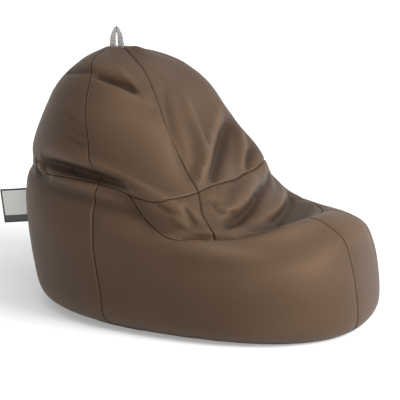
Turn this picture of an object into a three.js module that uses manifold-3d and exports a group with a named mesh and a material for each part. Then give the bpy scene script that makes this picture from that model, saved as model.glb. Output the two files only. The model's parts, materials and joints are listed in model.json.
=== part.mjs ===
// A bean bag lounge chair: a sewn cover of fourteen panels round a zipped liner full of beads.
// Millimetres, +Z up. The sitter faces -Y, so +X is the sitter's left.
// The origin is on the floor, under the middle of the base.

import * as THREE from "three";
import { mergeVertices } from "three/addons/utils/BufferGeometryUtils.js";
import Module from "manifold-3d";

const wasm = await Module();
wasm.setup();

// ---------------------------------------------------------------- driving dimensions

const bagLength = 1210; // front to back
const bagWidth = 850;
const bagHeight = 860; // without the carry loop

const coverThickness = 1.5;
const linerThickness = 1;
const linerDepth = 14; // from the cover's outer face in to the liner's outer face
const fillDepth = 26; // from the cover's outer face in to the beads
const seamHalfGap = 0.4; // each panel stops this far short of the seam line

const coverZipLength = 440;
const coverZipY = 250;
const linerZipLength = 300;
const linerZipY = 120;
const zipSlotWidth = 16;
const tapeWidth = 18; // each of a zip's two tapes
const tapeThickness = 0.8;
const coilWidth = 6;
const coilHeight = 1.3;
const sliderLength = 12;
const sliderWall = 1.2;
const stopLength = 4;
const zipClearance = 0.3;

const loopBase = 54; // across both legs of the carry loop
const loopHeight = 66;
const loopThickness = 2.5;
const loopSlotBase = 7;
const loopSlotHeight = 46;
const loopLift = 2; // from the cover up to the fold line of the loop
const loopAnchorDepth = 4;
const slitEndClearance = 3; // round the loop's ends, in the slit that they come out of
const slitSideClearance = 3.75;

const tagLength = 105; // how far the label stands out of its seam
const tagHeight = 120;
const tagThickness = 1.5;
const tagStation = 3.95; // how far up the loft of rings its middle is
const tagStandOff = 2;

// The chair's shape is a loft of rings, drawn for a block of this size and then graded to
// the size above. Each ring goes round the chair at one height of the fabric, from the foot
// up. front and rear are the ring's ends on the centre line, half is its half width, and
// square is 2 for an ellipse and more for a boxier ring. heights are the ring's Z at the
// front, front corner, side, rear corner and rear.
const block = { length: 1210, width: 850, height: 860, slitY: 335, crown: 858 };
const grade = {
  x: bagWidth / block.width,
  y: bagLength / block.length,
  z: bagHeight / block.height,
};
const slitHalfLength = (loopBase / 2 + slitEndClearance) / grade.y;
const slitHalfWidth = (loopThickness / 2 + slitSideClearance) / grade.x;
const rings = [
  { front: -545, rear: 508, half: 345, square: 2.4, heights: [0, 0, 0, 0, 0] }, // foot
  { front: -580, rear: 575, half: 408, square: 2.4, heights: [45, 45, 45, 45, 45] },
  { front: -578, rear: 603, half: 425, square: 2.4, heights: [135, 135, 140, 145, 150] }, // belly
  { front: -557, rear: 625, half: 425, square: 2.4, heights: [240, 235, 250, 300, 320] },
  { front: -520, rear: 634, half: 400, square: 2.3, heights: [322, 285, 340, 398, 430] }, // rim
  { front: -410, rear: 618, half: 367, square: 2.2, heights: [338, 310, 405, 455, 478] }, // crease
  { front: -285, rear: 614, half: 380, square: 2.1, heights: [305, 370, 515, 532, 540] }, // seat
  { front: -185, rear: 570, half: 355, square: 2, heights: [415, 470, 560, 640, 645] },
  { front: -52, rear: 512, half: 305, square: 2, heights: [540, 640, 700, 735, 755] },
  { front: 85, rear: 438, half: 197, square: 2, heights: [748, 782, 810, 820, 820] },
  { front: 238, rear: 385, half: 65, square: 2, heights: [855, 850, 852, 852, 850] }, // crown
  {
    front: block.slitY - slitHalfLength,
    rear: block.slitY + slitHalfLength,
    half: slitHalfWidth,
    square: 2,
    heights: Array(5).fill(block.crown),
  }, // the slit that the loop comes out of
];

// Seam lines are given on that loft. A station is a ring's number, and 1 is the foot. An
// angle is in degrees round the chair, 0 at the front and 180 at the rear.
const footStation = 1.06;
const topStation = rings.length;
const frontSeam = 15; // between the front panel and the side panels of the base
const gussetFoot = 60; // where the gusset's front corner meets the base
const shoulderSeam = 45; // between the backrest and the sides
const gussetTip = 92;
const rearSeam = 104;
const labelSeam = 197; // the base's closing seam, a little to the sitter's right of the middle
const crownShoulder = 50; // where the shoulder and rear seams end at the loop slit
const crownRear = 110;
const rimSeam = [
  [0, 6.2],
  [45, 6.2],
  [gussetFoot, 5.85],
  [75, 5.1],
  [84, 5.5],
  [gussetTip, 6],
  [180, 6],
]; // the top edge of the base: angle, station
const backSeam = [
  [0, 8.4],
  [30, 8.15],
  [shoulderSeam, 7.85],
  [58, 7.4],
  [70, 6.85],
  [82, 6.4],
  [gussetTip, 6.04],
]; // across the backrest and down along the gusset: angle, station

// How finely the curved fabric is faceted.
const facets = { front: 2, side: 5, gusset: 4, rearLeft: 8, label: 2, rearRight: 6 };
const rows = { base: 12, seat: 5, dome: 12 };
const innerFacets = { around: 36, rows: 23 };

const coverBrown = new THREE.MeshStandardMaterial({ color: "#6b5744", roughness: 0.5 });
const linerWhite = new THREE.MeshStandardMaterial({ color: "#e4e2dc", roughness: 0.9 });
const beadWhite = new THREE.MeshStandardMaterial({ color: "#f4f4f2", roughness: 0.95 });
const tapeBrown = new THREE.MeshStandardMaterial({ color: "#4a3c2f", roughness: 0.8 });
const coilBrown = new THREE.MeshStandardMaterial({ color: "#3f342a", roughness: 0.45 });
const sliderMetal = new THREE.MeshStandardMaterial({ color: "#8a8883", roughness: 0.35, metalness: 1 });
const webbingGrey = new THREE.MeshStandardMaterial({ color: "#a9a5a1", roughness: 0.8 });
const labelGrey = new THREE.MeshStandardMaterial({ color: "#cfcfd1", roughness: 0.75 });

// ---------------------------------------------------------------- the loft

const radians = THREE.MathUtils.degToRad;

// The five heights as a smooth even curve round the ring: its cosine series.
function cosineSeries(heights) {
  const last = heights.length - 1;
  return heights.map((_, order) => {
    let sum = 0;
    heights.forEach((height, i) => {
      const share = i === 0 || i === last ? 0.5 : 1;
      sum += share * height * Math.cos((Math.PI * order * i) / last);
    });
    const share = order === 0 || order === last ? 0.5 : 1;
    return (2 * share * sum) / last;
  });
}
for (const ring of rings) ring.series = cosineSeries(ring.heights);

function ringPoint(ring, angle) {
  const c = Math.cos(angle);
  const s = Math.sin(angle);
  const reach = (Math.abs(c) ** ring.square + Math.abs(s) ** ring.square) ** (-1 / ring.square);
  const height = ring.series.reduce((sum, term, order) => sum + term * Math.cos(order * angle), 0);
  return new THREE.Vector3(
    grade.x * ring.half * s * reach,
    grade.y * ((ring.front + ring.rear) / 2 - ((ring.rear - ring.front) / 2) * c * reach),
    grade.z * height,
  );
}

const slitMiddleY = grade.y * block.slitY;
const crownHeight = grade.z * block.crown;

const insideFoot = 0.9; // the ring of the underside that the loft starts from, as a share of the foot
const crownPole = new THREE.Vector3(0, slitMiddleY, crownHeight);

function stationPoint(number, angle) {
  if (number < 1) return ringPoint(rings[0], angle).multiplyScalar(insideFoot);
  if (number > rings.length) return crownPole;
  return ringPoint(rings[number - 1], angle);
}

// A point of the cover's outer face: a Catmull-Rom curve through the rings at one angle.
function skin(angle, station) {
  const i = THREE.MathUtils.clamp(Math.floor(station), 0, rings.length);
  const f = station - i;
  const [a, b, c, d] = [-1, 0, 1, 2].map((step) => stationPoint(i + step, angle));
  const point = new THREE.Vector3();
  for (const axis of ["x", "y", "z"]) {
    point[axis] =
      b[axis] +
      (f / 2) *
        (c[axis] - a[axis] +
          f *
            (2 * a[axis] - 5 * b[axis] + 4 * c[axis] - d[axis] +
              f * (3 * b[axis] - a[axis] - 3 * c[axis] + d[axis])));
  }
  return point;
}

const nudge = 0.01;

// How the skin runs at a point: along the ring, up through the rings, and outwards.
function skinFrame(angle, station) {
  const around = skin(angle + nudge, station)
    .sub(skin(angle - nudge, station))
    .divideScalar(2 * nudge);
  const low = Math.max(station - nudge, 0);
  const high = Math.min(station + nudge, topStation);
  const up = skin(angle, high)
    .sub(skin(angle, low))
    .divideScalar(high - low);
  return { around, up, out: around.clone().cross(up).normalize() };
}

// ---------------------------------------------------------------- solids from grids

function geometryOf(points, triangles) {
  const geometry = new THREE.BufferGeometry();
  const numbers = points.flatMap((p) => [p.x, p.y, p.z]);
  geometry.setAttribute("position", new THREE.Float32BufferAttribute(numbers, 3));
  geometry.setIndex(triangles);
  return geometry;
}

// A closed sheet from two matching grids of points, outer and inner, [column][row].
function sheetGeometry(outer, inner) {
  const columns = outer.length;
  const rows = outer[0].length;
  const points = [...outer.flat(), ...inner.flat()];
  const at = (layer, i, j) => layer * columns * rows + i * rows + j;
  const triangles = [];
  const quad = (a, b, c, d) => triangles.push(a, b, c, a, c, d);
  for (let i = 0; i < columns - 1; i++) {
    for (let j = 0; j < rows - 1; j++) {
      quad(at(0, i, j), at(0, i + 1, j), at(0, i + 1, j + 1), at(0, i, j + 1));
      quad(at(1, i, j), at(1, i, j + 1), at(1, i + 1, j + 1), at(1, i + 1, j));
    }
    quad(at(0, i, 0), at(1, i, 0), at(1, i + 1, 0), at(0, i + 1, 0));
    quad(at(0, i, rows - 1), at(0, i + 1, rows - 1), at(1, i + 1, rows - 1), at(1, i, rows - 1));
  }
  for (let j = 0; j < rows - 1; j++) {
    quad(at(0, 0, j), at(0, 0, j + 1), at(1, 0, j + 1), at(1, 0, j));
    quad(at(0, columns - 1, j), at(1, columns - 1, j), at(1, columns - 1, j + 1), at(0, columns - 1, j + 1));
  }
  return geometryOf(points, triangles);
}

// The whole loft, closed at both ends, as far inside the cover's outer face as depth says.
function innerGeometry(depth) {
  const { around, rows } = innerFacets;
  const first = 0.5;
  const last = topStation - 0.5;
  const points = [];
  for (let j = 0; j < rows; j++) {
    const station = first + ((last - first) * j) / (rows - 1);
    for (let i = 0; i < around; i++) {
      const angle = (2 * Math.PI * i) / around;
      const { out } = skinFrame(angle, station);
      const point = skin(angle, station).addScaledVector(out, -depth);
      point.z = Math.max(point.z, depth); // flat where the chair stands on it
      points.push(point);
    }
  }
  const bottom = points.push(new THREE.Vector3(0, 0, depth)) - 1;
  const top = points.push(new THREE.Vector3(0, slitMiddleY, crownHeight - depth)) - 1;
  const triangles = [];
  for (let i = 0; i < around; i++) {
    const next = (i + 1) % around;
    triangles.push(bottom, next, i);
    triangles.push(top, (rows - 1) * around + i, (rows - 1) * around + next);
    for (let j = 0; j < rows - 1; j++) {
      const low = j * around;
      const high = low + around;
      triangles.push(low + i, low + next, high + next, low + i, high + next, high + i);
    }
  }
  return geometryOf(points, triangles);
}

function solid(geometry) {
  const bare = geometry.clone();
  bare.deleteAttribute("normal");
  bare.deleteAttribute("uv");
  const merged = mergeVertices(bare, 1e-3);
  return new wasm.Manifold(
    new wasm.Mesh({
      numProp: 3,
      vertProperties: merged.attributes.position.array,
      triVerts: new Uint32Array(merged.index.array),
    }),
  );
}

function solidGeometry(manifold) {
  const mesh = manifold.getMesh();
  const geometry = new THREE.BufferGeometry();
  geometry.setAttribute("position", new THREE.BufferAttribute(mesh.vertProperties, 3));
  geometry.setIndex(new THREE.BufferAttribute(mesh.triVerts, 1));
  return geometry;
}

// A box from its lowest to its highest corner.
function boxGeometry(low, high) {
  const size = high.map((value, axis) => value - low[axis]);
  const middle = high.map((value, axis) => (value + low[axis]) / 2);
  return new THREE.BoxGeometry(...size).translate(...middle);
}

const chair = new THREE.Group();
chair.name = "bean_bag_chair";

function add(name, geometry, material) {
  const mesh = new THREE.Mesh(geometry, material);
  mesh.name = name;
  chair.add(mesh);
  return mesh;
}

// ---------------------------------------------------------------- cover panels

// Straight lines between a seam's points.
function along(seam, degrees) {
  const angle = Math.abs(degrees);
  const next = Math.max(1, seam.findIndex(([place]) => place >= angle));
  const [[a, from], [b, to]] = [seam[next - 1], seam[next]];
  return THREE.MathUtils.mapLinear(angle, a, b, from, to);
}

// Angles from start to end in equal steps, without the last one.
const steps = (start, end, count) =>
  Array.from({ length: count }, (_, i) => start + ((end - start) * i) / count);

// A panel between two edges. Each edge is a list of [degrees, station], with the same number
// of points, and the panel's columns run straight from one to the other.
function panelGeometry(lower, upper, rows) {
  const columns = lower.length;
  const outer = [];
  const inner = [];
  for (let i = 0; i < columns; i++) {
    const outerColumn = [];
    const innerColumn = [];
    for (let j = 0; j <= rows; j++) {
      let degrees = THREE.MathUtils.lerp(lower[i][0], upper[i][0], j / rows);
      let station = THREE.MathUtils.lerp(lower[i][1], upper[i][1], j / rows);
      const { around, up } = skinFrame(radians(degrees), station);
      const side = (i === 0) - (i === columns - 1);
      const end = (j === 0) - (j === rows);
      degrees += side * THREE.MathUtils.radToDeg(seamHalfGap / around.length());
      station += (end * seamHalfGap) / up.length();
      const angle = radians(degrees);
      const point = skin(angle, station);
      outerColumn.push(point);
      innerColumn.push(point.clone().addScaledVector(skinFrame(angle, station).out, -coverThickness));
    }
    outer.push(outerColumn);
    inner.push(innerColumn);
  }
  return sheetGeometry(outer, inner);
}

// The angles at which panels are faceted, for one half of the chair, along the base's top
// edge and along the seam above it, which meet at the same columns.
const rimAngles = [
  ...steps(0, frontSeam, facets.front),
  ...steps(frontSeam, gussetFoot, facets.side),
  ...steps(gussetFoot, gussetTip, facets.gusset),
  gussetTip,
];
const frontColumns = facets.front;
const seatColumns = facets.front + facets.side;
const lastGussetColumn = rimAngles.length - 1;
const backAngles = rimAngles.map((_, i) =>
  i <= seatColumns
    ? (rimAngles[i] / gussetFoot) * shoulderSeam
    : THREE.MathUtils.mapLinear(i, seatColumns, lastGussetColumn, shoulderSeam, gussetTip),
);
const rearLeftAngles = [
  ...steps(rearSeam, 180, facets.rearLeft),
  ...steps(180, labelSeam, facets.label),
  labelSeam,
];
const rearRightAngles = [...steps(labelSeam, 360 - rearSeam, facets.rearRight), 360 - rearSeam];

const flipAngles = (angles) => angles.map((angle) => -angle).reverse();
const mirrored = (angles) => [...flipAngles(angles.slice(1)), ...angles];
const atStation = (angles, station) => angles.map((angle) => [angle, station]);
const onSeam = (angles, seam) => angles.map((angle) => [angle, along(seam, angle)]);
const flip = (edge) => edge.map(([angle, station]) => [-angle, station]).reverse();

// Angles spread from one range over another.
const crownAngles = (angles, from, to, start, end) =>
  angles.map((angle) => THREE.MathUtils.mapLinear(angle, from, to, start, end));

function addPanel(name, lower, upper, rows) {
  add(name, panelGeometry(lower, upper, rows), coverBrown);
}

function addPair(name, lower, upper, rows) {
  addPanel(name + "_left", lower, upper, rows);
  addPanel(name + "_right", flip(lower), flip(upper), rows);
}

const frontAngles = mirrored(rimAngles.slice(0, frontColumns + 1));
addPanel(
  "base_front",
  atStation(frontAngles, footStation),
  onSeam(frontAngles, rimSeam),
  rows.base,
);

const sideAngles = [...rimAngles.slice(frontColumns), rearSeam];
addPair(
  "base_side",
  atStation(sideAngles, footStation),
  onSeam(sideAngles, rimSeam),
  rows.base,
);
const rearStation = along(rimSeam, rearSeam);
for (const [word, angles] of [["left", rearLeftAngles], ["right", rearRightAngles]]) {
  addPanel(
    `base_rear_${word}`,
    atStation(angles, footStation),
    atStation(angles, rearStation),
    rows.base,
  );
}

const seatLower = mirrored(rimAngles.slice(0, seatColumns + 1));
const seatUpper = mirrored(backAngles.slice(0, seatColumns + 1));
addPanel("seat_panel", onSeam(seatLower, rimSeam), onSeam(seatUpper, backSeam), rows.seat);

const gussetLower = rimAngles.slice(seatColumns);
const gussetUpper = backAngles.slice(seatColumns);
addPair("gusset", onSeam(gussetLower, rimSeam), onSeam(gussetUpper, backSeam), rows.seat);

const backCrown = crownAngles(seatUpper, -shoulderSeam, shoulderSeam, -crownShoulder, crownShoulder);
addPanel(
  "backrest_panel",
  onSeam(seatUpper, backSeam),
  atStation(backCrown, topStation),
  rows.dome,
);

const domeSideLower = [...backAngles.slice(seatColumns), rearSeam];
const domeSideCrown = crownAngles(domeSideLower, shoulderSeam, rearSeam, crownShoulder, crownRear);
const domeSideEdge = domeSideLower.map((angle) => [
  angle,
  along(angle > gussetTip ? rimSeam : backSeam, angle),
]);
addPair("dome_side", domeSideEdge, atStation(domeSideCrown, topStation), rows.dome);

const domeRearLower = [...rearLeftAngles, ...rearRightAngles.slice(1)];
const domeRearCrown = crownAngles(domeRearLower, rearSeam, 360 - rearSeam, crownRear, 360 - crownRear);
addPanel(
  "dome_rear",
  atStation(domeRearLower, rearStation),
  atStation(domeRearCrown, topStation),
  rows.dome,
);

// ---------------------------------------------------------------- underside and zips

// The fabric on the floor, just short of the base's lower seam and with corners at the same
// angles as the base: the part of it that lies in front of the zip (side -1) or behind it (side 1).
const hem = 1.5; // from the underside's edge to the lower edge of the base
const footAngles = [
  ...rimAngles,
  ...rearLeftAngles,
  ...rearRightAngles.slice(1),
  ...flipAngles(rimAngles.slice(1)),
];
function undersideOutline(side) {
  const shape = new THREE.Shape();
  const outline = footAngles.map((degrees) => {
    const angle = radians(degrees);
    const { up } = skinFrame(angle, footStation);
    const short = hem / Math.hypot(up.x, up.y);
    return skin(angle, footStation).addScaledVector(up, -short);
  });
  shape.setFromPoints(outline);
  const whole = new THREE.ExtrudeGeometry(shape, { depth: coverThickness, bevelEnabled: false });
  const seamY = coverZipY + side * seamHalfGap;
  const far = side * bagLength;
  const keep = boxGeometry(
    [-bagWidth, Math.min(seamY, far), -coverThickness],
    [bagWidth, Math.max(seamY, far), 2 * coverThickness],
  );
  return solid(whole).intersect(solid(keep));
}

// A zip lies along X. Its tapes rest at height tapeZ on the folded edges of a slot, its coil
// hangs under them, and its slider straddles the coil.
function addZip(name, length, y, tapeZ) {
  const half = length / 2;
  const coilTop = tapeZ - zipClearance;
  const coilBottom = coilTop - coilHeight;
  const coilHalf = coilWidth / 2;
  for (const [word, side] of [["front", -1], ["rear", 1]]) {
    const edges = [y + side * zipClearance, y + side * (zipClearance + tapeWidth)].sort((a, b) => a - b);
    add(
      `${name}_tape_${word}`,
      boxGeometry([-half, edges[0], tapeZ], [half, edges[1], tapeZ + tapeThickness]),
      tapeBrown,
    );
  }
  const coilShape = new THREE.Shape();
  coilShape.moveTo(-coilHalf, coilTop);
  coilShape.lineTo(-coilHalf, coilBottom + coilHeight / 2);
  coilShape.lineTo(-coilHalf / 2, coilBottom);
  coilShape.lineTo(coilHalf / 2, coilBottom);
  coilShape.lineTo(coilHalf, coilBottom + coilHeight / 2);
  coilShape.lineTo(coilHalf, coilTop);
  const coilLength = length - 2 * (stopLength + zipClearance);
  const coil = new THREE.ExtrudeGeometry(coilShape, { depth: coilLength, bevelEnabled: false });
  coil.rotateX(Math.PI / 2).rotateZ(Math.PI / 2);
  coil.translate(-coilLength / 2, y, 0);
  add(`${name}_coil`, coil, coilBrown);

  const sliderInner = coilHalf + zipClearance;
  const sliderOuter = sliderInner + sliderWall;
  const sliderTop = coilBottom - zipClearance;
  const sliderShape = new THREE.Shape();
  sliderShape.moveTo(-sliderOuter, sliderTop - sliderWall);
  sliderShape.lineTo(sliderOuter, sliderTop - sliderWall);
  sliderShape.lineTo(sliderOuter, coilTop);
  sliderShape.lineTo(sliderInner, coilTop);
  sliderShape.lineTo(sliderInner, sliderTop);
  sliderShape.lineTo(-sliderInner, sliderTop);
  sliderShape.lineTo(-sliderInner, coilTop);
  sliderShape.lineTo(-sliderOuter, coilTop);
  const slider = new THREE.ExtrudeGeometry(sliderShape, { depth: sliderLength, bevelEnabled: false });
  slider.rotateX(Math.PI / 2).rotateZ(Math.PI / 2);
  slider.translate(-half + stopLength + zipClearance, y, 0);
  add(`${name}_slider`, slider, sliderMetal);

  for (const [word, side] of [["right", -1], ["left", 1]]) {
    const ends = [side * half, side * (half - stopLength)].sort((a, b) => a - b);
    add(
      `${name}_stop_${word}`,
      boxGeometry([ends[0], y - sliderInner, coilBottom - sliderWall], [ends[1], y + sliderInner, coilTop]),
      sliderMetal,
    );
  }
}

const coverTapeZ = 6; // the cover's zip is set this high so that it clears the floor
const linerTapeZ = linerDepth + linerThickness + zipClearance;
const slotHalf = zipSlotWidth / 2;

for (const [word, side] of [["front", -1], ["rear", 1]]) {
  const slot = boxGeometry(
    [-coverZipLength / 2, coverZipY - slotHalf, -coverThickness],
    [coverZipLength / 2, coverZipY + slotHalf, 2 * coverThickness],
  );
  const foldEdges = [slotHalf, slotHalf + coverThickness]
    .map((reach) => coverZipY + side * reach)
    .sort((a, b) => a - b);
  const fold = boxGeometry(
    [-coverZipLength / 2, foldEdges[0], 0],
    [coverZipLength / 2, foldEdges[1], coverTapeZ - zipClearance],
  );
  const panel = undersideOutline(side).subtract(solid(slot)).add(solid(fold));
  add(`underside_${word}`, solidGeometry(panel), coverBrown);
}
addZip("cover_zip", coverZipLength, coverZipY, coverTapeZ);

// ---------------------------------------------------------------- liner and beads

const linerSlot = boxGeometry(
  [-linerZipLength / 2, linerZipY - slotHalf, linerDepth - linerThickness],
  [linerZipLength / 2, linerZipY + slotHalf, linerDepth + 3 * linerThickness],
);
const liner = solid(innerGeometry(linerDepth))
  .subtract(solid(innerGeometry(linerDepth + linerThickness)))
  .subtract(solid(linerSlot));
add("liner", solidGeometry(liner), linerWhite);
addZip("liner_zip", linerZipLength, linerZipY, linerTapeZ);
add("bead_fill", innerGeometry(fillDepth), beadWhite);

// ---------------------------------------------------------------- carry loop and label

// A flat webbing loop in the YZ plane, folded to a point at the top.
const loopHalf = loopBase / 2;
const slotBaseHalf = loopSlotBase / 2;
const loopShape = new THREE.Shape();
loopShape.moveTo(slotBaseHalf, 0);
loopShape.lineTo(loopHalf, 0);
loopShape.quadraticCurveTo(loopHalf, loopHeight * 0.5, loopHalf * 0.55, loopHeight * 0.76);
loopShape.quadraticCurveTo(loopHalf * 0.3, loopHeight * 0.97, 0, loopHeight);
loopShape.quadraticCurveTo(-loopHalf * 0.3, loopHeight * 0.97, -loopHalf * 0.55, loopHeight * 0.76);
loopShape.quadraticCurveTo(-loopHalf, loopHeight * 0.5, -loopHalf, 0);
loopShape.lineTo(-slotBaseHalf, 0);
loopShape.lineTo(-slotBaseHalf * 0.8, loopSlotHeight * 0.8);
loopShape.quadraticCurveTo(0, loopSlotHeight, slotBaseHalf * 0.8, loopSlotHeight * 0.8);
const loop = new THREE.ExtrudeGeometry(loopShape, {
  depth: loopThickness,
  bevelEnabled: false,
  curveSegments: 6,
});
loop.translate(0, 0, -loopThickness / 2).rotateX(Math.PI / 2).rotateZ(Math.PI / 2);
loop.translate(0, slitMiddleY, crownHeight + loopLift);
add("carry_loop", loop, webbingGrey);

// The loop's two sewn ends, caught in the slit under it.
add(
  "carry_loop_ends",
  boxGeometry(
    [-loopThickness / 2, slitMiddleY - loopHalf, crownHeight - loopAnchorDepth],
    [loopThickness / 2, slitMiddleY + loopHalf, crownHeight],
  ),
  webbingGrey,
);

// The label stands straight out of the base's closing seam and leans with the cover there.
const tagAngle = radians(labelSeam);
const tagFrame = skinFrame(tagAngle, tagStation);
const tagOut = tagFrame.out;
const tagUp = tagOut.clone().cross(tagFrame.around).normalize();
const tagAcross = tagOut.clone().cross(tagUp);
const tagFoot = skin(tagAngle, tagStation).addScaledVector(tagOut, tagStandOff);
const label = boxGeometry(
  [-tagThickness / 2, 0, -tagHeight / 2],
  [tagThickness / 2, tagLength, tagHeight / 2],
);
const tag = add("side_label", label, labelGrey);
tag.quaternion.setFromRotationMatrix(new THREE.Matrix4().makeBasis(tagAcross, tagOut, tagUp));
tag.position.copy(tagFoot);

export default chair;
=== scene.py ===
# %% [markdown]
# # A bean bag chair, sewn from fourteen panels
#
# The real chair is a slack cover of coated polyester, sewn from flat panels, round a zipped liner
# full of polystyrene beads. Everything that the eye reads as "bean bag" comes from the sewing and
# from the slack: a groove and a row of stitches at each seam, small puckers beside it, and long
# soft folds where the cloth has more length than the beads push out.
#
# It could be sculpted as one blob and painted, but then the seams would be lines on a balloon.
# Here each panel is its own piece of cloth, cut from one shared surface, so that neighbours
# meet exactly at their seam.

import json
import math

import bmesh
import bpy
import numpy as np
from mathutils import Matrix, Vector

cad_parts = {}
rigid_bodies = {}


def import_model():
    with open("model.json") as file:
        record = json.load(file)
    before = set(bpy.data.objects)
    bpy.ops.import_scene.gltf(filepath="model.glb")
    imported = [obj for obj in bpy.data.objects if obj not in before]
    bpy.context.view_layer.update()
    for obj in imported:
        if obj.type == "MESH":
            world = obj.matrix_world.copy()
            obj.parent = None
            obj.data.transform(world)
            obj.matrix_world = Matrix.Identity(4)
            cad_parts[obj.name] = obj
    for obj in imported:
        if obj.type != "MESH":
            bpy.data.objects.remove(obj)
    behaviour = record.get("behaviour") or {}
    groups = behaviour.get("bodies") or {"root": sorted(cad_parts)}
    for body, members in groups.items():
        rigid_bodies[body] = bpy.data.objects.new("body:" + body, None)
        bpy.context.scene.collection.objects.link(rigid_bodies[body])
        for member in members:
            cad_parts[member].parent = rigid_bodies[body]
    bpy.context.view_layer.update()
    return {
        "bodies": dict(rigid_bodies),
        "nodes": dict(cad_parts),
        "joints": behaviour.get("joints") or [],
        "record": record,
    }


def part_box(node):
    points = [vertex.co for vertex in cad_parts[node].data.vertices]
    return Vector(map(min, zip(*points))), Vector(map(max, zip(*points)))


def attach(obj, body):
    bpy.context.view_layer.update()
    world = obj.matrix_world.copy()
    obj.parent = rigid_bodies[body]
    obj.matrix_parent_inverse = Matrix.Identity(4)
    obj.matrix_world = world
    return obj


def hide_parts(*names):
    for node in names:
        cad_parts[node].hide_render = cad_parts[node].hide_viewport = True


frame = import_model()
MM = 0.001

# %% [markdown]
# ## The camera
#
# The chair is seen from its right side, a little from the front and from just above sitting
# height. A long lens from a few metres away keeps the near side from swelling, as a catalogue
# picture does.

# %% Camera
VIEW_TURN = math.radians(-65)
VIEW_LIFT = math.radians(13.5)
VIEW_DISTANCE = 4.2
AIM_HEIGHT = 0.36
AIM_SIDE = -0.024
LENS = 113.0

view_back = Vector(
    (
        math.sin(VIEW_TURN) * math.cos(VIEW_LIFT),
        -math.cos(VIEW_TURN) * math.cos(VIEW_LIFT),
        math.sin(VIEW_LIFT),
    )
)
view_right = Vector((math.cos(VIEW_TURN), math.sin(VIEW_TURN), 0))
camera_data = bpy.data.cameras.new("camera")
camera_data.lens = LENS
camera_data.sensor_width = 36
camera = bpy.data.objects.new("camera", camera_data)
camera.location = view_right * AIM_SIDE + Vector((0, 0, AIM_HEIGHT)) + view_back * VIEW_DISTANCE
camera.rotation_euler = (-view_back).to_track_quat("-Z", "Y").to_euler()
bpy.context.scene.collection.objects.link(camera)
bpy.context.scene.camera = camera
print("camera at", [round(value, 3) for value in camera.location])

# %% [markdown]
# ## The shape that the beads hold
#
# A bean bag has no straight line in it, so the shape is a loft of rings, as a boat is drawn with
# stations. Each ring goes round the chair at one height of the cloth. It has a front and a rear
# end, a half width, a squareness (2 is an ellipse, more is boxier), and five heights from front to
# rear. The rings between the stations come from a Catmull-Rom curve.
#
# The same rings give the solid frame its plain panels. Here they are graded to the frame's own
# box, so that the cloth always fits it.

# %% Rings of the loft, in millimetres
RINGS = [
    ("foot", -545, 508, 345, 2.4, (0, 0, 0, 0, 0)),
    ("skirt", -580, 575, 408, 2.4, (45, 45, 45, 45, 45)),
    ("belly", -578, 603, 425, 2.4, (135, 135, 140, 145, 150)),
    ("chest", -557, 625, 425, 2.4, (240, 235, 250, 300, 320)),
    ("rim", -520, 634, 400, 2.3, (322, 285, 340, 398, 430)),
    ("crease", -410, 618, 367, 2.2, (338, 310, 405, 455, 478)),
    ("seat", -285, 614, 380, 2.1, (305, 370, 515, 532, 540)),
    ("lumbar", -185, 570, 355, 2.0, (415, 470, 560, 640, 645)),
    ("back", -52, 512, 305, 2.0, (540, 640, 700, 735, 755)),
    ("shoulder", 85, 438, 197, 2.0, (748, 782, 810, 820, 820)),
    ("crown", 238, 385, 65, 2.0, (855, 850, 852, 852, 850)),
    ("slit", 305, 365, 5, 2.0, (858, 858, 858, 858, 858)),
]
TOP = len(RINGS)
INSIDE_FOOT = 0.9


def cosine_series(heights):
    """The five heights as a smooth even curve round the ring."""
    last = len(heights) - 1
    terms = []
    for order in range(last + 1):
        total = 0
        for place, height in enumerate(heights):
            share = 0.5 if place in (0, last) else 1
            total += share * height * math.cos(math.pi * order * place / last)
        share = 0.5 if order in (0, last) else 1
        terms.append(2 * share * total / last)
    return terms


ring_rows = [[front, rear, half, square, *cosine_series(heights)]
             for _, front, rear, half, square, heights in RINGS]
inside_foot = [value * INSIDE_FOOT for value in ring_rows[0][:3]] + ring_rows[0][3:]
slit_row = ring_rows[-1]
slit_middle = (slit_row[0] + slit_row[1]) / 2
pole = [slit_middle, slit_middle, 0, 2, *slit_row[4:]]
RING_TABLE = np.array([inside_foot, *ring_rows, pole])


def ring_point(number, angle):
    row = RING_TABLE[np.clip(number, 0, TOP + 1)]
    c, s = np.cos(angle), np.sin(angle)
    reach = (np.abs(c) ** row[..., 3] + np.abs(s) ** row[..., 3]) ** (-1 / row[..., 3])
    height = sum(row[..., 4 + order] * np.cos(order * angle) for order in range(5))
    middle = (row[..., 0] + row[..., 1]) / 2
    half_length = (row[..., 1] - row[..., 0]) / 2
    return np.stack([row[..., 2] * s * reach, middle - half_length * c * reach, height], -1) * MM


def loft(angle, station):
    """Points of the cover's outer face. Angles are in radians, 0 at the front, + to the left."""
    angle, station = np.broadcast_arrays(np.asarray(angle, float), np.asarray(station, float))
    number = np.clip(np.floor(station), 0, TOP).astype(int)
    f = (station - number)[..., None]
    a, b, c, d = (ring_point(number + step, angle) for step in (-1, 0, 1, 2))
    return b + f / 2 * (c - a + f * (2 * a - 5 * b + 4 * c - d + f * (3 * b - a - 3 * c + d)))


# %% Grade the loft to the frame's box
cover_nodes = [name for name in frame["nodes"]
               if name.startswith(("base_", "gusset_", "dome_", "seat_", "backrest_"))]
corners = np.array([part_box(name) for name in cover_nodes])
cover_low, cover_high = corners[:, 0].min(0), corners[:, 1].max(0)
probe = loft(*np.meshgrid(np.radians(np.arange(0, 360, 4)), np.arange(1, TOP + 0.01, 0.25)))
probe = probe.reshape(-1, 3)
GRADE = (cover_high - cover_low) / (probe.max(0) - probe.min(0))
print("cover box", cover_low, cover_high, "grade", GRADE)

# %% [markdown]
# ## The cut
#
# A pattern cutter marks a seam as a line on the stand. Here a seam is a list of places on the
# loft, as an angle in degrees and a station. The columns of the cloth run up from the floor
# through every panel above, so panels that meet share their points.

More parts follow.
